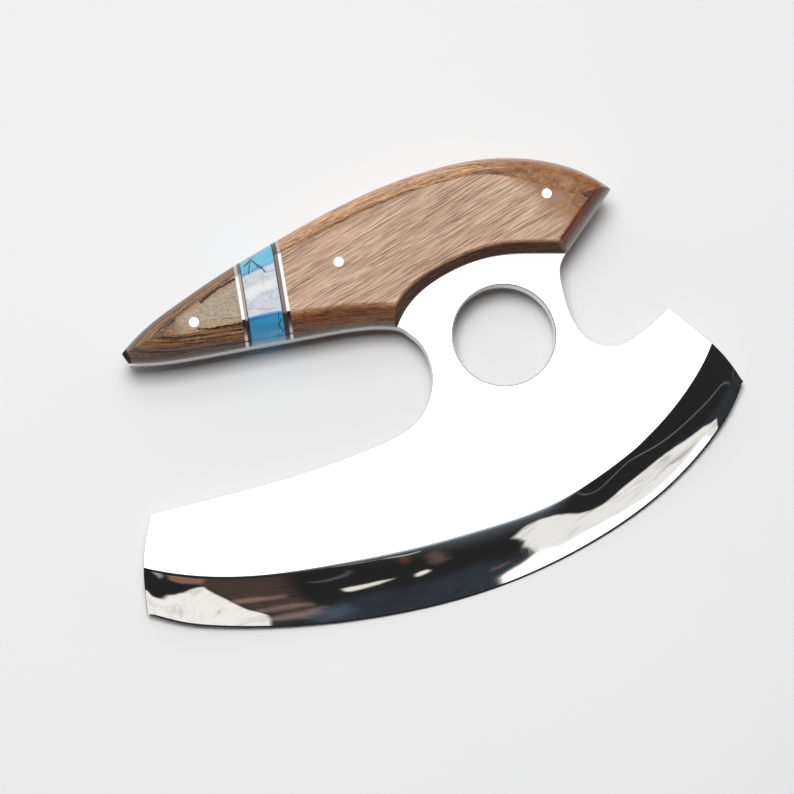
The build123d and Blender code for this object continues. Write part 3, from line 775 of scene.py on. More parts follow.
def laminate_cap():
    mat, t, bsdf = material("laminate_cap", Coat_Roughness=0.10)
    k = knife_mm(t)
    kx, ky, kz = t.xyz(k)
    z = t.m("ABSOLUTE", kz)
    jag = sway(t, streak(t, kx, ky, 1.1, 0.50, 5.3, 4.0, 0.7), 1.0)
    slow = sway(t, streak(t, kx, ky, 14.0, 6.0, 2.9, 2.0), 1.0)
    zl = t.m("ADD", z, t.m("MULTIPLY", t.m("SUBTRACT", kx, 45.0), 0.055))
    zl = t.m("ADD", zl, t.m("ADD", t.m("MULTIPLY", slow, 0.60), t.m("MULTIPLY", jag, 0.70)))
    col = layers(t, zl, CAP_LAYERS)
    s1 = streak(t, kx, zl, 7.0, 0.34, 7.1, 3.0, 0.62)
    s2 = streak(t, kx, zl, 1.6, 0.16, 3.9, 2.0, 0.6)
    s3 = streak(t, kx, zl, 30.0, 0.30, 1.7, 2.0, 0.6)
    s4 = streak(t, kx, zl, 22.0, 0.24, 8.3, 2.0, 0.6)
    tone = t.m("ADD", 0.88, t.m("ADD", sway(t, s1, 2.4), sway(t, s2, 2.2)))
    col = t.mix(1.0, col, grey(t, tone), "MULTIPLY")
    col = t.mix(t.span(s3, 0.54, 0.62, 0.0, 0.75), col, (0.33, 0.125, 0.042))
    col = t.mix(t.span(s4, 0.54, 0.61, 0.0, 0.92), col, (0.028, 0.014, 0.009))
    col = t.mix(t.span(s4, 0.42, 0.34, 0.0, 0.50), col, (0.36, 0.26, 0.15))
    # painted shade: the finger-side wall is mixed towards black below the face, more so nearer the tang
    low = t.span(t.m("ADD", ky, t.m("MULTIPLY", t.m("SUBTRACT", kx, 30.0), 0.0)), 79.4, 78.2)
    low = t.m("MULTIPLY", low, t.span(z, 11.3, 10.2))
    col = t.mix(t.m("MULTIPLY", low, t.span(z, 9.6, 5.0, 0.15, 0.50)), col, grey(t, 0.0), "MIX")
    pale = t.span(ky, 79.0, 80.5, 0.0, 1.0)
    pale = t.m("MULTIPLY", pale, t.span(z, 8.0, 4.0, 0.0, 0.35))
    col = t.mix(pale, col, (0.20, 0.135, 0.10))
    nose = t.m("MULTIPLY", t.m("MULTIPLY", t.span(kx, 37.0, 27.0, 0.0, 0.6), t.span(ky, 75.5, 79.0)), t.span(s4, 0.56, 0.50))
    col = t.mix(nose, col, (0.235, 0.155, 0.070))
    # the flat face: curly grey-olive grain, warmer below the pin
    curl = t.noise(t.vec(t.m("MULTIPLY", kx, 0.55), t.m("MULTIPLY", ky, 1.1), 6.0), 1.0, 4.0, 0.68, 1.6)
    hair = t.noise(t.vec(t.m("MULTIPLY", kx, 1.1), t.m("MULTIPLY", ky, 3.2), 2.0), 1.0, 3.0, 0.65, 1.0)
    face = t.ramp(curl, [(0.30, (0.25, 0.195, 0.135)), (0.48, (0.38, 0.305, 0.220)), (0.70, (0.50, 0.41, 0.310))])
    warm = t.m("SUBTRACT", t.m("ADD", 79.6, t.m("MULTIPLY", t.m("SUBTRACT", kx, 50.0), -0.30)), ky)
    face = t.mix(t.span(warm, -0.4, 1.0, 0.0, 0.6), face, (0.42, 0.25, 0.135))
    face = t.mix(t.span(t.m("SUBTRACT", ky, t.m("MULTIPLY", kx, 0.22)), 72.2, 74.0, 0.0, 0.60), face,
                 (0.40, 0.185, 0.090))
    face = t.mix(1.0, face, grey(t, t.m("ADD", 1.0, sway(t, hair, 2.0))), "MULTIPLY")
    face = t.mix(t.span(hair, 0.58, 0.72, 0.0, 0.7), face, (0.13, 0.085, 0.055))
    on_face = t.m("MULTIPLY", t.span(t.m("ADD", z, t.m("MULTIPLY", jag, 0.20)), 11.10, 11.30),
                  t.span(t.m("ADD", kx, t.m("MULTIPLY", jag, 3.0)), 37.5, 44.0))
    col = t.mix(on_face, col, face)
    # dark hairlines along the creases
    crease_lines = hairlines(t, ragged(t, k, 1.3, 1.2), [
        ((38.6, 82.1), (41.2, 83.0), 0.34, 1.0), ((41.2, 83.0), (46.0, 84.5), 0.12, 0.75),
        ((46.0, 84.5), (51.8, 86.7), 0.10, 0.6), ((51.2, 85.3), (54.0, 86.5), 0.50, 1.0),
        ((54.0, 86.5), (58.0, 87.5), 0.44, 1.0), ((58.0, 87.5), (64.0, 88.5), 0.42, 1.0),
        ((43.0, 78.0), (47.0, 77.5), 0.12, 0.6), ((47.0, 77.5), (50.5, 76.2), 0.28, 0.95),
        ((50.5, 76.2), (56.0, 75.1), 0.28, 0.95), ((56.0, 75.1), (61.0, 74.2), 0.30, 0.95),
        ((50.0, 79.2), (55.0, 77.9), 0.10, 0.35), ((55.0, 77.9), (61.5, 76.1), 0.14, 0.55),
        ((41.0, 83.0), (41.6, 80.6), 0.22, 0.22), ((41.6, 80.6), (43.6, 78.6), 0.22, 0.22)], 0.35)
    col = t.mix(crease_lines, col, (0.030, 0.014, 0.009))
    col = t.mix(t.span(kx, 24.2, 23.3, 0.0, 1.0), col, (0.060, 0.036, 0.024))
    link(t, t.span(kx, 24.2, 23.4, 0.26, 0.85), bsdf.inputs["Roughness"])
    link(t, t.span(kx, 24.2, 23.4, 0.28, 0.0), bsdf.inputs["Specular IOR Level"])
    link(t, t.span(kx, 24.2, 23.4, 0.13, 0.0), bsdf.inputs["Coat Weight"])
    link(t, col, bsdf.inputs["Base Color"])
    link(t, t.bump(t.m("SUBTRACT", t.m("MULTIPLY", s1, 0.5), crease_lines), 0.5, 0.00004), bsdf.inputs["Normal"])
    return mat


def laminate_strip(name, flat, back, low):
    mat, t, bsdf = material(name, Roughness=0.28, Specular_IOR_Level=0.35, Coat_Weight=0.12, Coat_Roughness=0.10)
    k = knife_mm(t)
    kx, ky, kz = t.xyz(k)
    z = t.m("ABSOLUTE", kz)
    gx, gy, _ = t.xyz(grain(t, k, 77.8))
    jag = sway(t, streak(t, kx, ky, 1.2, 1.2, 4.1, 3.0, 0.6), 0.5)
    # the finger-side wall takes the darker colour: partly the wood, partly painted shade
    wall = t.mix(t.span(ky, 78.0, 84.0), low, back)
    col = t.mix(t.span(t.m("ADD", z, jag), 11.0, 11.3), wall, flat)
    s = streak(t, gx, gy, 5.0, 0.22, 7.1, 3.0, 0.6)
    col = t.mix(1.0, col, grey(t, t.m("ADD", 1.0, sway(t, s, 1.6))), "MULTIPLY")
    link(t, col, bsdf.inputs["Base Color"])
    link(t, t.bump(s, 0.4, 0.00003), bsdf.inputs["Normal"])
    return mat


m_main = laminate_main()
m_cap = laminate_cap()
# colours: flat, back, finger side; the finger side is darker partly as painted shade
m_strip_tip = laminate_strip("laminate_strip_tip", (0.375, 0.320, 0.262), (0.170, 0.138, 0.120), (0.038, 0.025, 0.020))
m_strip_main = laminate_strip("laminate_strip_main", (0.205, 0.160, 0.135), (0.086, 0.073, 0.059), (0.046, 0.032, 0.026))


def stone():
    mat, t, bsdf = material("turquoise_stone", Roughness=0.09, IOR=1.62, Coat_Weight=0.35, Coat_Roughness=0.04,
                            Coat_IOR=1.5, Subsurface_Weight=0.12, Subsurface_Radius=(0.5, 1.0, 1.4),
                            Subsurface_Scale=0.002)
    k = knife_mm(t)
    kx, ky, kz = t.xyz(k)
    z = t.m("ABSOLUTE", kz)
    big = t.noise(t.map(k, scale=(0.10, 0.30, 0.3)), 1.0, 3.0, 0.55, 0.6)
    small = t.noise(t.map(k, scale=(0.5, 0.7, 0.6)), 1.0, 4.0, 0.6, 0.8)
    # the finger-side bevels are a darker blue than the back: partly the stone, partly painted shade
    deep_low_shaded = t.ramp(t.m("ADD", t.m("MULTIPLY", t.m("SUBTRACT", big, 0.5), 1.3), 0.5),
                      [(0.0, (0.028, 0.230, 0.460)), (0.5, (0.040, 0.292, 0.535)), (1.0, (0.080, 0.385, 0.610))])
    deep_back = t.ramp(t.m("ADD", t.m("MULTIPLY", t.m("SUBTRACT", big, 0.5), 1.3), 0.5),
                       [(0.0, (0.050, 0.345, 0.590)), (0.5, (0.092, 0.428, 0.640)), (1.0, (0.165, 0.530, 0.705))])
    deep = t.mix(t.span(ky, 78.0, 86.0), deep_low_shaded, deep_back)
    # the flat: milky, with a bright band across it and bluer rims
    pale = t.ramp(t.m("ADD", t.m("MULTIPLY", t.m("SUBTRACT", small, 0.5), 3.0), 0.5),
                  [(0.0, (0.42, 0.465, 0.535)), (0.5, (0.515, 0.545, 0.595)), (1.0, (0.64, 0.65, 0.68))])
    across = t.m("ADD", t.m("SUBTRACT", ky, 82.6), t.m("MULTIPLY", t.m("SUBTRACT", kx, 70.0), -0.06))
    across = t.m("ADD", across, sway(t, small, 2.6))
    pale = t.mix(t.span(t.m("ABSOLUTE", across), 0.4, 2.6, 0.75, 0.0), pale, (0.80, 0.78, 0.76))
    pale = t.mix(t.span(t.m("ADD", kx, t.m("MULTIPLY", t.m("SUBTRACT", ky, 82.0), -0.25)), 72.5, 76.5, 0.0, 0.50), pale,
                 (0.48, 0.62, 0.77))
    pale = t.mix(t.span(ky, 79.0, 75.4, 0.0, 0.4), pale, (0.57, 0.54, 0.62))
    pale = t.mix(t.span(ky, 85.6, 88.4, 0.0, 0.35), pale, (0.50, 0.61, 0.76))
    # the polish meets the bevels in two soft lines
    top = t.m("SUBTRACT", t.m("ADD", 88.15, t.m("MULTIPLY", t.m("SUBTRACT", kx, 66.9), 0.075)), ky)
    arc = t.m("ADD", 74.95, t.m("ADD", t.m("MULTIPLY", t.m("SUBTRACT", kx, 64.0), -0.06),
                                t.m("MULTIPLY", t.m("POWER", t.m("MAXIMUM", t.m("SUBTRACT", kx, 64.0), 0.0), 2.0), -0.0098)))
    bottom = t.m("SUBTRACT", ky, arc)
    near = t.m("MINIMUM", top, bottom)
    col = t.mix(t.m("MULTIPLY", t.span(near, -0.15, 0.35), t.span(z, 10.85, 11.2)), deep, pale)
    rim = t.span(t.m("ABSOLUTE", t.m("ADD", near, 0.60)), 0.15, 0.75, 0.62, 0.0)
    rim = t.m("MULTIPLY", rim, t.span(kx, 76.0, 70.0, 0.25, 1.0))
    col = t.mix(rim, col, (0.060, 0.110, 0.360))
    # black web of hairline veins
    wob = ragged(t, k, 0.9, 0.55)
    veins = hairlines(t, wob, VEINS)
    web = t.voronoi(t.v("MULTIPLY", wob, (0.33, 0.33, 0.33)), 1.0, "DISTANCE_TO_EDGE")
    web = t.m("MULTIPLY", t.span(web, 0.004, 0.028, 1.0, 0.0), t.span(small, 0.50, 0.62))
    veins = t.m("MAXIMUM", veins, t.m("MULTIPLY", web, 0.16))
    col = t.mix(veins, col, (0.014, 0.015, 0.022))
    link(t, col, bsdf.inputs["Base Color"])
    return mat


# hairline veins of the stone: from, to, half width, strength
VEINS = [((70.8, 92.9), (70.8, 94.6), 0.18, 0.85), ((70.8, 92.9), (72.2, 93.9), 0.20, 0.85),
         ((68.2, 91.5), (70.8, 92.9), 0.25, 1.0), ((70.5, 92.6), (68.5, 88.4), 0.19, 0.95),
         ((71.0, 92.8), (72.2, 89.8), 0.26, 1.0), ((72.2, 89.8), (73.1, 88.7), 0.44, 0.95),
         ((73.0, 88.8), (73.6, 87.2), 0.26, 0.9), ((73.7, 87.0), (76.9, 86.4), 0.10, 0.45),
         ((72.4, 86.9), (71.7, 83.1), 0.11, 0.40), ((72.4, 86.9), (74.2, 83.9), 0.10, 0.35),
         ((66.5, 87.9), (67.1, 86.1), 0.10, 0.40), ((72.4, 79.4), (73.9, 80.4), 0.10, 0.32),
         ((73.9, 80.4), (75.5, 80.8), 0.10, 0.32), ((72.4, 79.4), (71.8, 78.9), 0.12, 0.35),
         ((72.4, 79.4), (72.4, 77.9), 0.10, 0.30), ((72.4, 77.9), (73.9, 77.3), 0.10, 0.25),
         ((64.2, 77.7), (67.2, 76.8), 0.11, 0.40), ((67.2, 76.8), (69.4, 75.6), 0.11, 0.40),
         ((69.4, 75.6), (71.9, 75.0), 0.10, 0.35), ((71.9, 75.0), (73.4, 74.4), 0.10, 0.35),
         ((72.9, 73.5), (71.5, 69.4), 0.15, 0.75), ((71.5, 69.4), (70.0, 66.2), 0.11, 0.45),
         ((72.9, 71.1), (71.6, 69.7), 0.15, 0.85), ((71.6, 69.7), (72.3, 67.5), 0.17, 0.85),
         ((72.3, 67.5), (73.3, 68.8), 0.14, 0.75)]
m_stone = stone()


def steel(name, rough, wave, scratch, tint=(0.80, 0.795, 0.785)):
    mat, t, bsdf = material(name, Metallic=1.0, Base_Color=tint)
    k = knife_mm(t)
    n1 = t.noise(t.map(k, scale=(0.05, 0.05, 0.05)), 1.0, 2.0, 0.5)
    n2 = t.noise(t.map(k, scale=(1.4, 1.4, 1.4)), 1.0, 4.0, 0.6)
    att = t.node("ShaderNodeAttribute", attribute_name="bevel_uv").outputs["Vector"]
    if scratch:
        # hairlines across the lower half of the grind, left by the last stone
        au, av, aw = t.xyz(att)
        on = t.span(aw, 0.35, 0.80)
        mid = t.m("MULTIPLY", t.span(au, 45, 80), t.span(au, 170, 135))
        zone = t.m("MULTIPLY", on, mid)
        sc = t.noise(t.vec(t.m("MULTIPLY", au, 4.2), t.m("MULTIPLY", av, 0.14), 0.0), 1.0, 3.0, 0.75)
        line = t.span(sc, 0.58, 0.74)
        r = t.m("ADD", t.m("MULTIPLY", n2, 0.008), rough)
        r = t.m("ADD", r, t.m("MULTIPLY", zone, t.m("ADD", t.m("MULTIPLY", line, 0.16), 0.015)))
        link(t, r, bsdf.inputs["Roughness"])
        h = t.m("ADD", t.m("MULTIPLY", n1, 1.0), t.m("MULTIPLY", t.m("MULTIPLY", line, zone), 0.05))
    else:
        link(t, t.m("ADD", t.m("MULTIPLY", n2, 0.05), rough), bsdf.inputs["Roughness"])
        h = n1
    link(t, t.bump(h, 1.0, wave), bsdf.inputs["Normal"])
    return mat


m_steel = steel("polished_steel", 0.010, 0.000005, True)
m_spacer = steel("spacer_metal", 0.09, 0.000004, False, (0.60, 0.58, 0.55))
m_pin = steel("pin_steel", 0.12, 0.000004, False)


def liner():
    mat, t, bsdf = material("black_liner", Base_Color=(0.02, 0.018, 0.018), Coat_Weight=0.3)
    k = knife_mm(t)
    n = t.noise(t.map(k, scale=(4, 4, 4)), 1.0, 3.0, 0.6)
    link(t, t.span(n, 0.3, 0.7, 0.25, 0.42), bsdf.inputs["Roughness"])
    link(t, t.bump(n, 0.4, 0.00002), bsdf.inputs["Normal"])
    return mat


m_liner = liner()
BY_NODE = {"end_cap": m_cap, "main_scale": m_main, "stone_inlay": m_stone, "metal_spacer_tip": m_spacer,
           "metal_spacer_main": m_spacer, "wood_strip_tip": m_strip_tip, "wood_strip_main": m_strip_main,
           "black_liner_tip": m_liner, "black_liner_main": m_liner}


def dress(ob, mat):
    ob.data.materials.clear()
    ob.data.materials.append(mat)


dress(blade, m_steel)
dress(NODES["blade"], m_steel)
for side in ("front", "rear"):
    for part, mat in BY_NODE.items():
        dress(NODES[f"{side}_{part}"], mat)
for pin in ("pin_tip", "pin_middle", "pin_front"):
    dress(NODES[pin], m_pin)

# ---------------------------------------------------------------------------
# Floor, soft light and reflector cards
# ---------------------------------------------------------------------------


def flat_mesh(name, pts, mat):
    me = bpy.data.meshes.new(name)
    me.from_pydata([tuple(p) for p in pts], [], [list(range(len(pts)))])
    ob = bpy.data.objects.new(name, me)
    bpy.context.scene.collection.objects.link(ob)
    me.materials.append(mat)
    return ob


m_floor, t, bsdf = material("floor_paper", Roughness=0.75, Specular_IOR_Level=0.2)
pos = t.node("ShaderNodeTexCoord").outputs["Object"]
fine = t.noise(pos, 900.0, 3.0, 0.6)
soft = t.noise(pos, 6.0, 2.0, 0.5)
link(t, t.ramp(soft, [(0.3, (0.842, 0.843, 0.848)), (0.7, (0.852, 0.852, 0.855))]), bsdf.inputs["Base Color"])
link(t, t.bump(fine, 0.15, 0.00005), bsdf.inputs["Normal"])
floor = flat_mesh("floor", [(-1.7, -1.7, -0.0002), (1.7, -1.7, -0.0002), (1.7, 1.7, -0.0002), (-1.7, 1.7, -0.0002)], m_floor)


def ground(e, n, z):
    """A point e metres to the camera's right, n away from it and z up."""
    return EAST * e + NORTH * n + Vector((0, 0, z))


def softbox(name, e0, e1, n0, n1, z, radiance, colour=(1, 1, 1)):
    la = bpy.data.lights.new(name, "AREA")
    la.shape = "RECTANGLE"
    la.size, la.size_y = e1 - e0, n1 - n0
    la.energy = radiance * math.pi * la.size * la.size_y
    la.color = colour
    ob = bpy.data.objects.new(name, la)
    bpy.context.scene.collection.objects.link(ob)
    c = ground((e0 + e1) / 2, (n0 + n1) / 2, z)
    ob.matrix_world = Matrix(((EAST.x, NORTH.x, 0, c.x), (EAST.y, NORTH.y, 0, c.y), (0, 0, 1, c.z), (0, 0, 0, 1)))
    return ob


# the key light is left out of mirror rays, where its small bright core would burn out the polish
key = softbox("softbox_key", -0.31, 0.12, -0.18, 0.27, 1.15, 13.7)
key.visible_glossy = False
softbox("softbox_overhead", -0.58, 0.42, -0.10, 0.89, 1.20, 1.75)

# what the ground bevel mirrors of the studio: folded cloth, a dark wall and small lamps,
# as cards that only mirror rays see. Points are (right, away) in metres at the card's height.
CARD_Z = 1.15


def off_edge(poly, pts):
    """Distance to a closed outline in metres, positive inside."""
    a = np.asarray(poly, float)
    b = np.roll(a, -1, 0)
    ab = b - a
    best = np.full(len(pts), 9.0)
    odd = np.zeros(len(pts), bool)
    for (p0, p1, d01) in zip(a, b, ab):
        t01 = np.clip(((pts - p0) @ d01) / max(d01 @ d01, 1e-12), 0, 1)
        best = np.minimum(best, np.linalg.norm(pts - p0 - t01[:, None] * d01, axis=1))
        if p0[1] != p1[1]:
            cross = (p0[1] > pts[:, 1]) != (p1[1] > pts[:, 1])
            odd ^= cross & (pts[:, 0] < p0[0] + (pts[:, 1] - p0[1]) / d01[1] * d01[0])
    return np.where(odd, best, -best)


def glow_mesh(name, pts, faces, glow, z, mat):
    me = bpy.data.meshes.new(name)
    me.from_pydata([tuple(ground(float(e), float(n), z)) for e, n in pts], [], faces)
    at = me.attributes.new("glow", "FLOAT", "POINT")
    at.data.foreach_set("value", np.asarray(glow, np.float32))
    ob = bpy.data.objects.new(name, me)
    bpy.context.scene.collection.objects.link(ob)
    me.materials.append(mat)
    ob.visible_camera = ob.visible_diffuse = ob.visible_shadow = ob.visible_transmission = False
    ob.visible_volume_scatter = False
    return ob


def glow_material(name, colour, power, rag, cloth, angle, seed):
    mat = bpy.data.materials.new(name)
    mat.use_nodes = True
    mat.cycles.emission_sampling = "NONE"
    nt = mat.node_tree
    nt.nodes.clear()
    t = Tree(nt)
    p = t.node("ShaderNodeTexCoord").outputs["Object"]
    ca, sa = math.cos(math.radians(angle)), math.sin(math.radians(angle))
    along = t.v("DOT_PRODUCT", p, tuple(EAST * ca + NORTH * sa))
    across = t.v("DOT_PRODUCT", p, tuple(NORTH * ca - EAST * sa))
    g = t.node("ShaderNodeAttribute", attribute_name="glow").outputs["Fac"]
    edge = t.noise(t.vec(along, across, seed), 55.0, 3.0, 0.6)
    g = t.m("ADD", g, t.m("MULTIPLY", t.m("SUBTRACT", edge, 0.5), rag))
    k = t.span(g, 0.0, 1.0, 0.0, power)
    if cloth:
        fold = t.noise(t.vec(t.m("MULTIPLY", along, 9.0), t.m("MULTIPLY", across, 34.0), seed), 1.0, 3.0, 0.6, 0.7)
        fold2 = t.noise(t.vec(t.m("MULTIPLY", along, 30.0), t.m("MULTIPLY", across, 80.0), seed + 4), 1.0, 2.0, 0.6, 0.5)
        dark = t.m("ADD", t.span(fold, 0.50, 0.72, 0.0, cloth), t.span(fold2, 0.52, 0.78, 0.0, cloth * 0.5))
        k = t.m("MULTIPLY", k, t.m("SUBTRACT", 1.0, dark))
    em = t.node("ShaderNodeEmission", {"Color": colour, "Strength": k})
    add = t.node("ShaderNodeAddShader")
    clear = t.node("ShaderNodeBsdfTransparent")
    out = t.node("ShaderNodeOutputMaterial")
    link(t, em.outputs[0], add.inputs[0])
    link(t, clear.outputs[0], add.inputs[1])
    link(t, add.outputs[0], out.inputs["Surface"])
    return mat


card_count = 0


def card(name, outline, colour, power, soft=0.008, rag=0.3, cloth=0.0, angle=0.0, step=0.004):
    """A glowing patch with a soft, slightly ragged edge."""
    global card_count
    card_count += 1
    poly = np.asarray(outline, float)
    lo, hi = poly.min(0) - soft * 1.3, poly.max(0) + soft * 1.3
    nx, ny = int((hi[0] - lo[0]) / step) + 2, int((hi[1] - lo[1]) / step) + 2
    gx, gy = np.meshgrid(np.linspace(lo[0], hi[0], nx), np.linspace(lo[1], hi[1], ny))
    pts = np.column_stack([gx.ravel(), gy.ravel()])
    sd = off_edge(poly, pts) / soft
    glow = np.clip(sd * 0.5 + 0.5, -1.0, 2.0)
    live = glow > -0.4
    faces = []
    for j in range(ny - 1):
        for i in range(nx - 1):
            q = (j * nx + i, j * nx + i + 1, (j + 1) * nx + i + 1, (j + 1) * nx + i)
            if any(live[v] for v in q):
                faces.append(q)
    used = sorted({v for f in faces for v in f})
    new = {v: k for k, v in enumerate(used)}
    faces = [tuple(new[v] for v in f) for f in faces]
    mat = glow_material(name, colour, power, rag, cloth, angle, 3.7 * card_count)
    return glow_mesh(name, pts[used], faces, glow[used], CARD_Z + 0.0012 * card_count, mat)


def ribbon(name, path, width, colour, power):
    """A thin glowing line that fades to its sides and ends."""
    global card_count
    card_count += 1
    p = np.asarray(path, float)
    curve = cubic(p)
    q = np.linspace(0, curve.length, max(12, int(curve.length / 0.006)))
    c = curve(q)
    tg = np.gradient(c, axis=0)
    tg /= np.linalg.norm(tg, axis=1)[:, None]
    nrm = np.column_stack([-tg[:, 1], tg[:, 0]]) * width
    fade = np.sin(np.pi * np.clip(q / curve.length, 0, 1)) ** 0.35
    n = len(q)
    pts = np.vstack([c - nrm, c, c + nrm])
    glow = np.concatenate([np.zeros(n), fade, np.zeros(n)])
    faces = [(r * n + i, r * n + i + 1, (r + 1) * n + i + 1, (r + 1) * n + i) for r in (0, 1) for i in range(n - 1)]
    mat = glow_material(name, colour, power, 0.0, 0.0, 0.0, 3.7 * card_count)
    return glow_mesh(name, pts, faces, glow, CARD_Z + 0.0012 * card_count, mat)


CLOTH_RIGHT = [(0.289, -0.350), (0.296, -0.342), (0.315, -0.333), (0.331, -0.317), (0.311, -0.295), (0.296, -0.284),
               (0.292, -0.268), (0.277, -0.255), (0.264, -0.245), (0.268, -0.237), (0.275, -0.224), (0.292, -0.218),
               (0.323, -0.220), (0.350, -0.228), (0.379, -0.242), (0.403, -0.245), (0.423, -0.239), (0.438, -0.222),
               (0.447, -0.207), (0.465, -0.194), (0.483, -0.183), (0.503, -0.172), (0.526, -0.163), (0.552, -0.156),
               (0.577, -0.154), (0.607, -0.146), (0.634, -0.139), (0.668, -0.135), (0.692, -0.128), (0.704, -0.150),
               (0.700, -0.185), (0.680, -0.220), (0.640, -0.255), (0.580, -0.300), (0.530, -0.335), (0.489, -0.365),
               (0.458, -0.385), (0.425, -0.395), (0.390, -0.398), (0.353, -0.395), (0.328, -0.390), (0.299, -0.368)]
WHITE_RIGHT = [(0.290, -0.350), (0.297, -0.343), (0.316, -0.334), (0.332, -0.318), (0.359, -0.323), (0.385, -0.330),
               (0.418, -0.316), (0.452, -0.304), (0.486, -0.288), (0.526, -0.273), (0.568, -0.246), (0.612, -0.212),
               (0.652, -0.169), (0.690, -0.175), (0.680, -0.220), (0.640, -0.255), (0.580, -0.300), (0.530, -0.335),
               (0.489, -0.365), (0.458, -0.385), (0.425, -0.395), (0.390, -0.398), (0.353, -0.395), (0.328, -0.390),
               (0.299, -0.368)]
CLOTH_LEFT = [(-0.198, -0.464), (-0.168, -0.445), (-0.160, -0.432), (-0.147, -0.411), (-0.126, -0.393),
              (-0.108, -0.375), (-0.090, -0.354), (-0.074, -0.336), (-0.064, -0.331), (-0.061, -0.341),
              (-0.047, -0.364), (-0.034, -0.385), (-0.019, -0.410), (-0.007, -0.425), (0.003, -0.430),
              (0.015, -0.439), (0.017, -0.453), (0.015, -0.495), (-0.002, -0.510), (-0.043, -0.530),
              (-0.078, -0.540), (-0.145, -0.560), (-0.215, -0.560), (-0.215, -0.500)]
TAN = [(-0.118, -0.290), (-0.093, -0.266), (-0.074, -0.271), (-0.059, -0.286), (-0.066, -0.317), (-0.082, -0.322),
       (-0.103, -0.329), (-0.118, -0.327)]
LAMP_LEFT = [(-0.138, -0.279), (-0.130, -0.267), (-0.121, -0.270), (-0.129, -0.318), (-0.137, -0.331),
             (-0.140, -0.311)]
BROWN = [(-0.075, -0.235), (-0.030, -0.235), (0.008, -0.240), (0.040, -0.250), (0.049, -0.299), (0.051, -0.337),
         (0.061, -0.360), (0.075, -0.389), (0.062, -0.437), (0.025, -0.480), (0.014, -0.480), (0.015, -0.439),
         (0.003, -0.430), (-0.019, -0.410), (-0.034, -0.385), (-0.047, -0.364), (-0.061, -0.341), (-0.070, -0.320)]
PALE_1 = [(-0.028, -0.389), (-0.003, -0.370), (0.020, -0.361), (0.042, -0.348), (0.042, -0.358), (0.019, -0.377),
          (-0.005, -0.392), (-0.021, -0.401)]
PALE_2 = [(0.001, -0.429), (0.025, -0.402), (0.050, -0.383), (0.067, -0.375), (0.071, -0.384), (0.049, -0.404),
          (0.026, -0.421), (0.008, -0.436)]
PALE_3 = [(0.017, -0.453), (0.037, -0.433), (0.061, -0.411), (0.081, -0.388), (0.074, -0.415), (0.055, -0.440),
          (0.036, -0.457), (0.018, -0.466)]
BLUE = [(0.055, -0.445), (0.070, -0.415), (0.088, -0.383), (0.107, -0.357), (0.135, -0.340), (0.177, -0.321),
        (0.215, -0.305), (0.240, -0.290), (0.276, -0.305), (0.308, -0.310), (0.322, -0.310), (0.331, -0.317),
        (0.315, -0.333), (0.296, -0.342), (0.289, -0.350), (0.290, -0.390), (0.239, -0.415), (0.213, -0.425),
        (0.189, -0.434), (0.141, -0.452), (0.095, -0.470), (0.060, -0.480)]
BLUE_CORE = [(0.060, -0.440), (0.074, -0.414), (0.090, -0.391), (0.104, -0.378), (0.115, -0.397), (0.109, -0.419),
             (0.091, -0.435), (0.072, -0.444)]
SLIVER = [(0.099, -0.321), (0.105, -0.316), (0.116, -0.310), (0.131, -0.301), (0.146, -0.297), (0.132, -0.312),
          (0.119, -0.322), (0.108, -0.331), (0.102, -0.331)]
LAMP_MID = [(0.168, -0.291), (0.172, -0.285), (0.180, -0.281), (0.185, -0.285), (0.182, -0.292), (0.174, -0.299),
            (0.170, -0.298)]
RED = [(0.142, -0.233), (0.146, -0.224), (0.152, -0.231), (0.155, -0.245), (0.153, -0.254), (0.146, -0.247)]
PINK = [(0.174, -0.237), (0.179, -0.228), (0.189, -0.239), (0.198, -0.257), (0.191, -0.268), (0.181, -0.261)]
RED_LINE = [(0.267, -0.321), (0.278, -0.318), (0.292, -0.316), (0.293, -0.322), (0.281, -0.326), (0.271, -0.328)]
DIM_RIGHT = [(0.569, -0.184), (0.612, -0.165), (0.652, -0.123), (0.732, -0.076), (0.790, -0.060), (0.830, -0.100),
             (0.760, -0.145), (0.704, -0.150), (0.682, -0.133), (0.608, -0.147), (0.552, -0.156)]

card("cloth_right", CLOTH_RIGHT, (1.0, 0.985, 0.955), 0.98, 0.004, 0.5, 0.42, 30)
card("white_right", WHITE_RIGHT, (1.0, 0.99, 0.975), 0.75, 0.010, 0.6, 0.0, 30)
card("cloth_left", CLOTH_LEFT, (1.0, 0.975, 0.94), 1.05, 0.004, 0.5, 0.30, 62)
card("tan_left", TAN, (0.62, 0.33, 0.22), 0.42, 0.006, 0.6, 0.35, 10)
card("lamp_left", LAMP_LEFT, (0.70, 0.80, 0.95), 0.42, 0.005, 0.8)
card("brown_wall", BROWN, (0.62, 0.36, 0.28), 0.085, 0.014, 0.6, 0.6, 25)
card("pale_1", PALE_1, (0.62, 0.40, 0.34), 0.30, 0.007, 0.5, 0.3, 25)
card("pale_2", PALE_2, (0.62, 0.42, 0.36), 0.26, 0.007, 0.5, 0.3, 25)
card("pale_3", PALE_3, (0.62, 0.46, 0.42), 0.30, 0.008, 0.5, 0.3, 25)
card("blue_wall", BLUE, (0.42, 0.62, 0.95), 0.036, 0.016, 0.6, 0.55, 70)
card("blue_core", BLUE_CORE, (0.55, 0.70, 0.95), 0.090, 0.012, 0.6, 0.5, 70)
card("sliver", SLIVER, (1.0, 0.97, 0.90), 0.95, 0.003, 0.4, 0.2, 30, 0.0015)
card("lamp_mid", LAMP_MID, (1.0, 0.97, 0.90), 1.0, 0.003, 0.4, 0.0, 0, 0.0015)
card("red_spot", RED, (0.80, 0.16, 0.10), 0.12, 0.005, 0.4)
card("pink_spot", PINK, (0.75, 0.45, 0.38), 0.14, 0.009, 0.8)
card("red_line", RED_LINE, (0.80, 0.35, 0.30), 0.16, 0.003, 0.4)
card("dim_right", DIM_RIGHT, (0.55, 0.75, 1.0), 0.022, 0.014, 0.3)
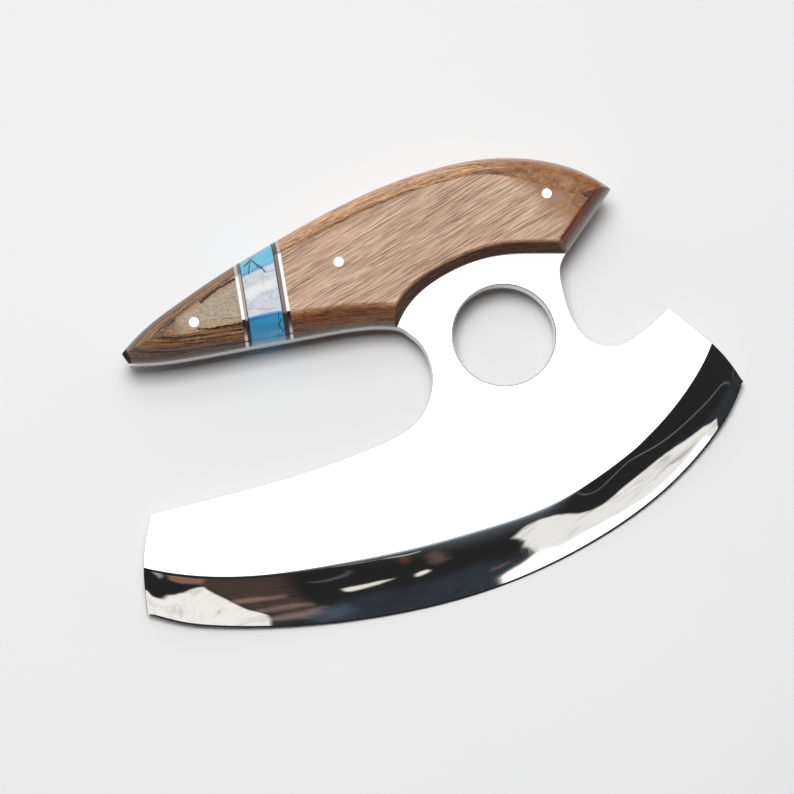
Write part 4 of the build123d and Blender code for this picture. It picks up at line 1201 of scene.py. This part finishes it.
ribbon("edge_1", [(0.079, -0.218), (0.093, -0.223), (0.107, -0.226), (0.125, -0.227)], 0.0040, (1, 1, 1), 0.65)
ribbon("edge_2", [(0.122, -0.227), (0.135, -0.226), (0.149, -0.225), (0.165, -0.217)], 0.0036, (1, 1, 1), 0.60)
ribbon("arc", [(0.063, -0.296), (0.075, -0.296), (0.088, -0.288), (0.098, -0.276), (0.102, -0.264), (0.100, -0.254)],
       0.0060, (0.8, 0.9, 1), 0.09)
ribbon("wire", [(0.340, -0.152), (0.362, -0.179), (0.380, -0.189), (0.396, -0.187), (0.404, -0.174), (0.413, -0.157),
                (0.424, -0.141), (0.447, -0.135), (0.479, -0.132), (0.515, -0.125), (0.551, -0.112), (0.591, -0.095),
                (0.646, -0.073), (0.701, -0.055), (0.740, -0.058), (0.769, -0.065)], 0.0036, (1, 1, 1), 0.17)

# the softbox's fading edge, which the rounded shoulder of the grind mirrors
n_rows = np.linspace(-0.10, -0.262, 12)
grad_pts = [(e, n) for n in n_rows for e in (-0.20, 0.02, 0.10, 0.29, 0.35)]
grad_glow = []
for n in n_rows:
    f = float(np.clip((n + 0.262) / 0.162, 0, 1))
    grad_glow += [0.0, 0.30 * f ** 2.2, f ** 1.7, f ** 1.7, 0.0]
grad_faces = [(5 * j + i, 5 * j + i + 1, 5 * j + i + 6, 5 * j + i + 5) for j in range(11) for i in range(4)]
glow_mesh("fading_edge", grad_pts, grad_faces, grad_glow, CARD_Z,
          glow_material("fading_edge", (0.80, 0.90, 1.0), 1.0, 0.0, 0.0, 0.0, 1.0))

world = bpy.data.worlds.new("studio")
bpy.context.scene.world = world
world.use_nodes = True
wt = Tree(world.node_tree)
bg = next(n for n in world.node_tree.nodes if n.type == "BACKGROUND")
d = wt.node("ShaderNodeTexCoord").outputs["Generated"]
up = wt.xyz(d)[2]
north = wt.v("DOT_PRODUCT", d, tuple(NORTH))
south_c = wt.ramp(up, [(0.0, (0.78, 0.78, 0.78)), (0.08, (0.58, 0.58, 0.59)), (0.20, (0.28, 0.28, 0.285)),
                       (0.35, (0.12, 0.12, 0.12)), (0.50, (0.05, 0.05, 0.05)), (0.70, (0.026, 0.026, 0.027)),
                       (1.0, (0.022, 0.022, 0.023))])
north_c = wt.ramp(up, [(0.0, (0.86, 0.86, 0.86)), (0.12, (1.0, 1.0, 1.0)), (0.30, (0.92, 0.92, 0.92)),
                       (0.50, (0.30, 0.30, 0.30)), (0.70, (0.08, 0.08, 0.08)), (1.0, (0.022, 0.022, 0.022))])
side = wt.span(north, -0.10, 0.30)
wt.put(bg.inputs["Color"], wt.mix(side, south_c, north_c))
bg.inputs["Strength"].default_value = 1.0
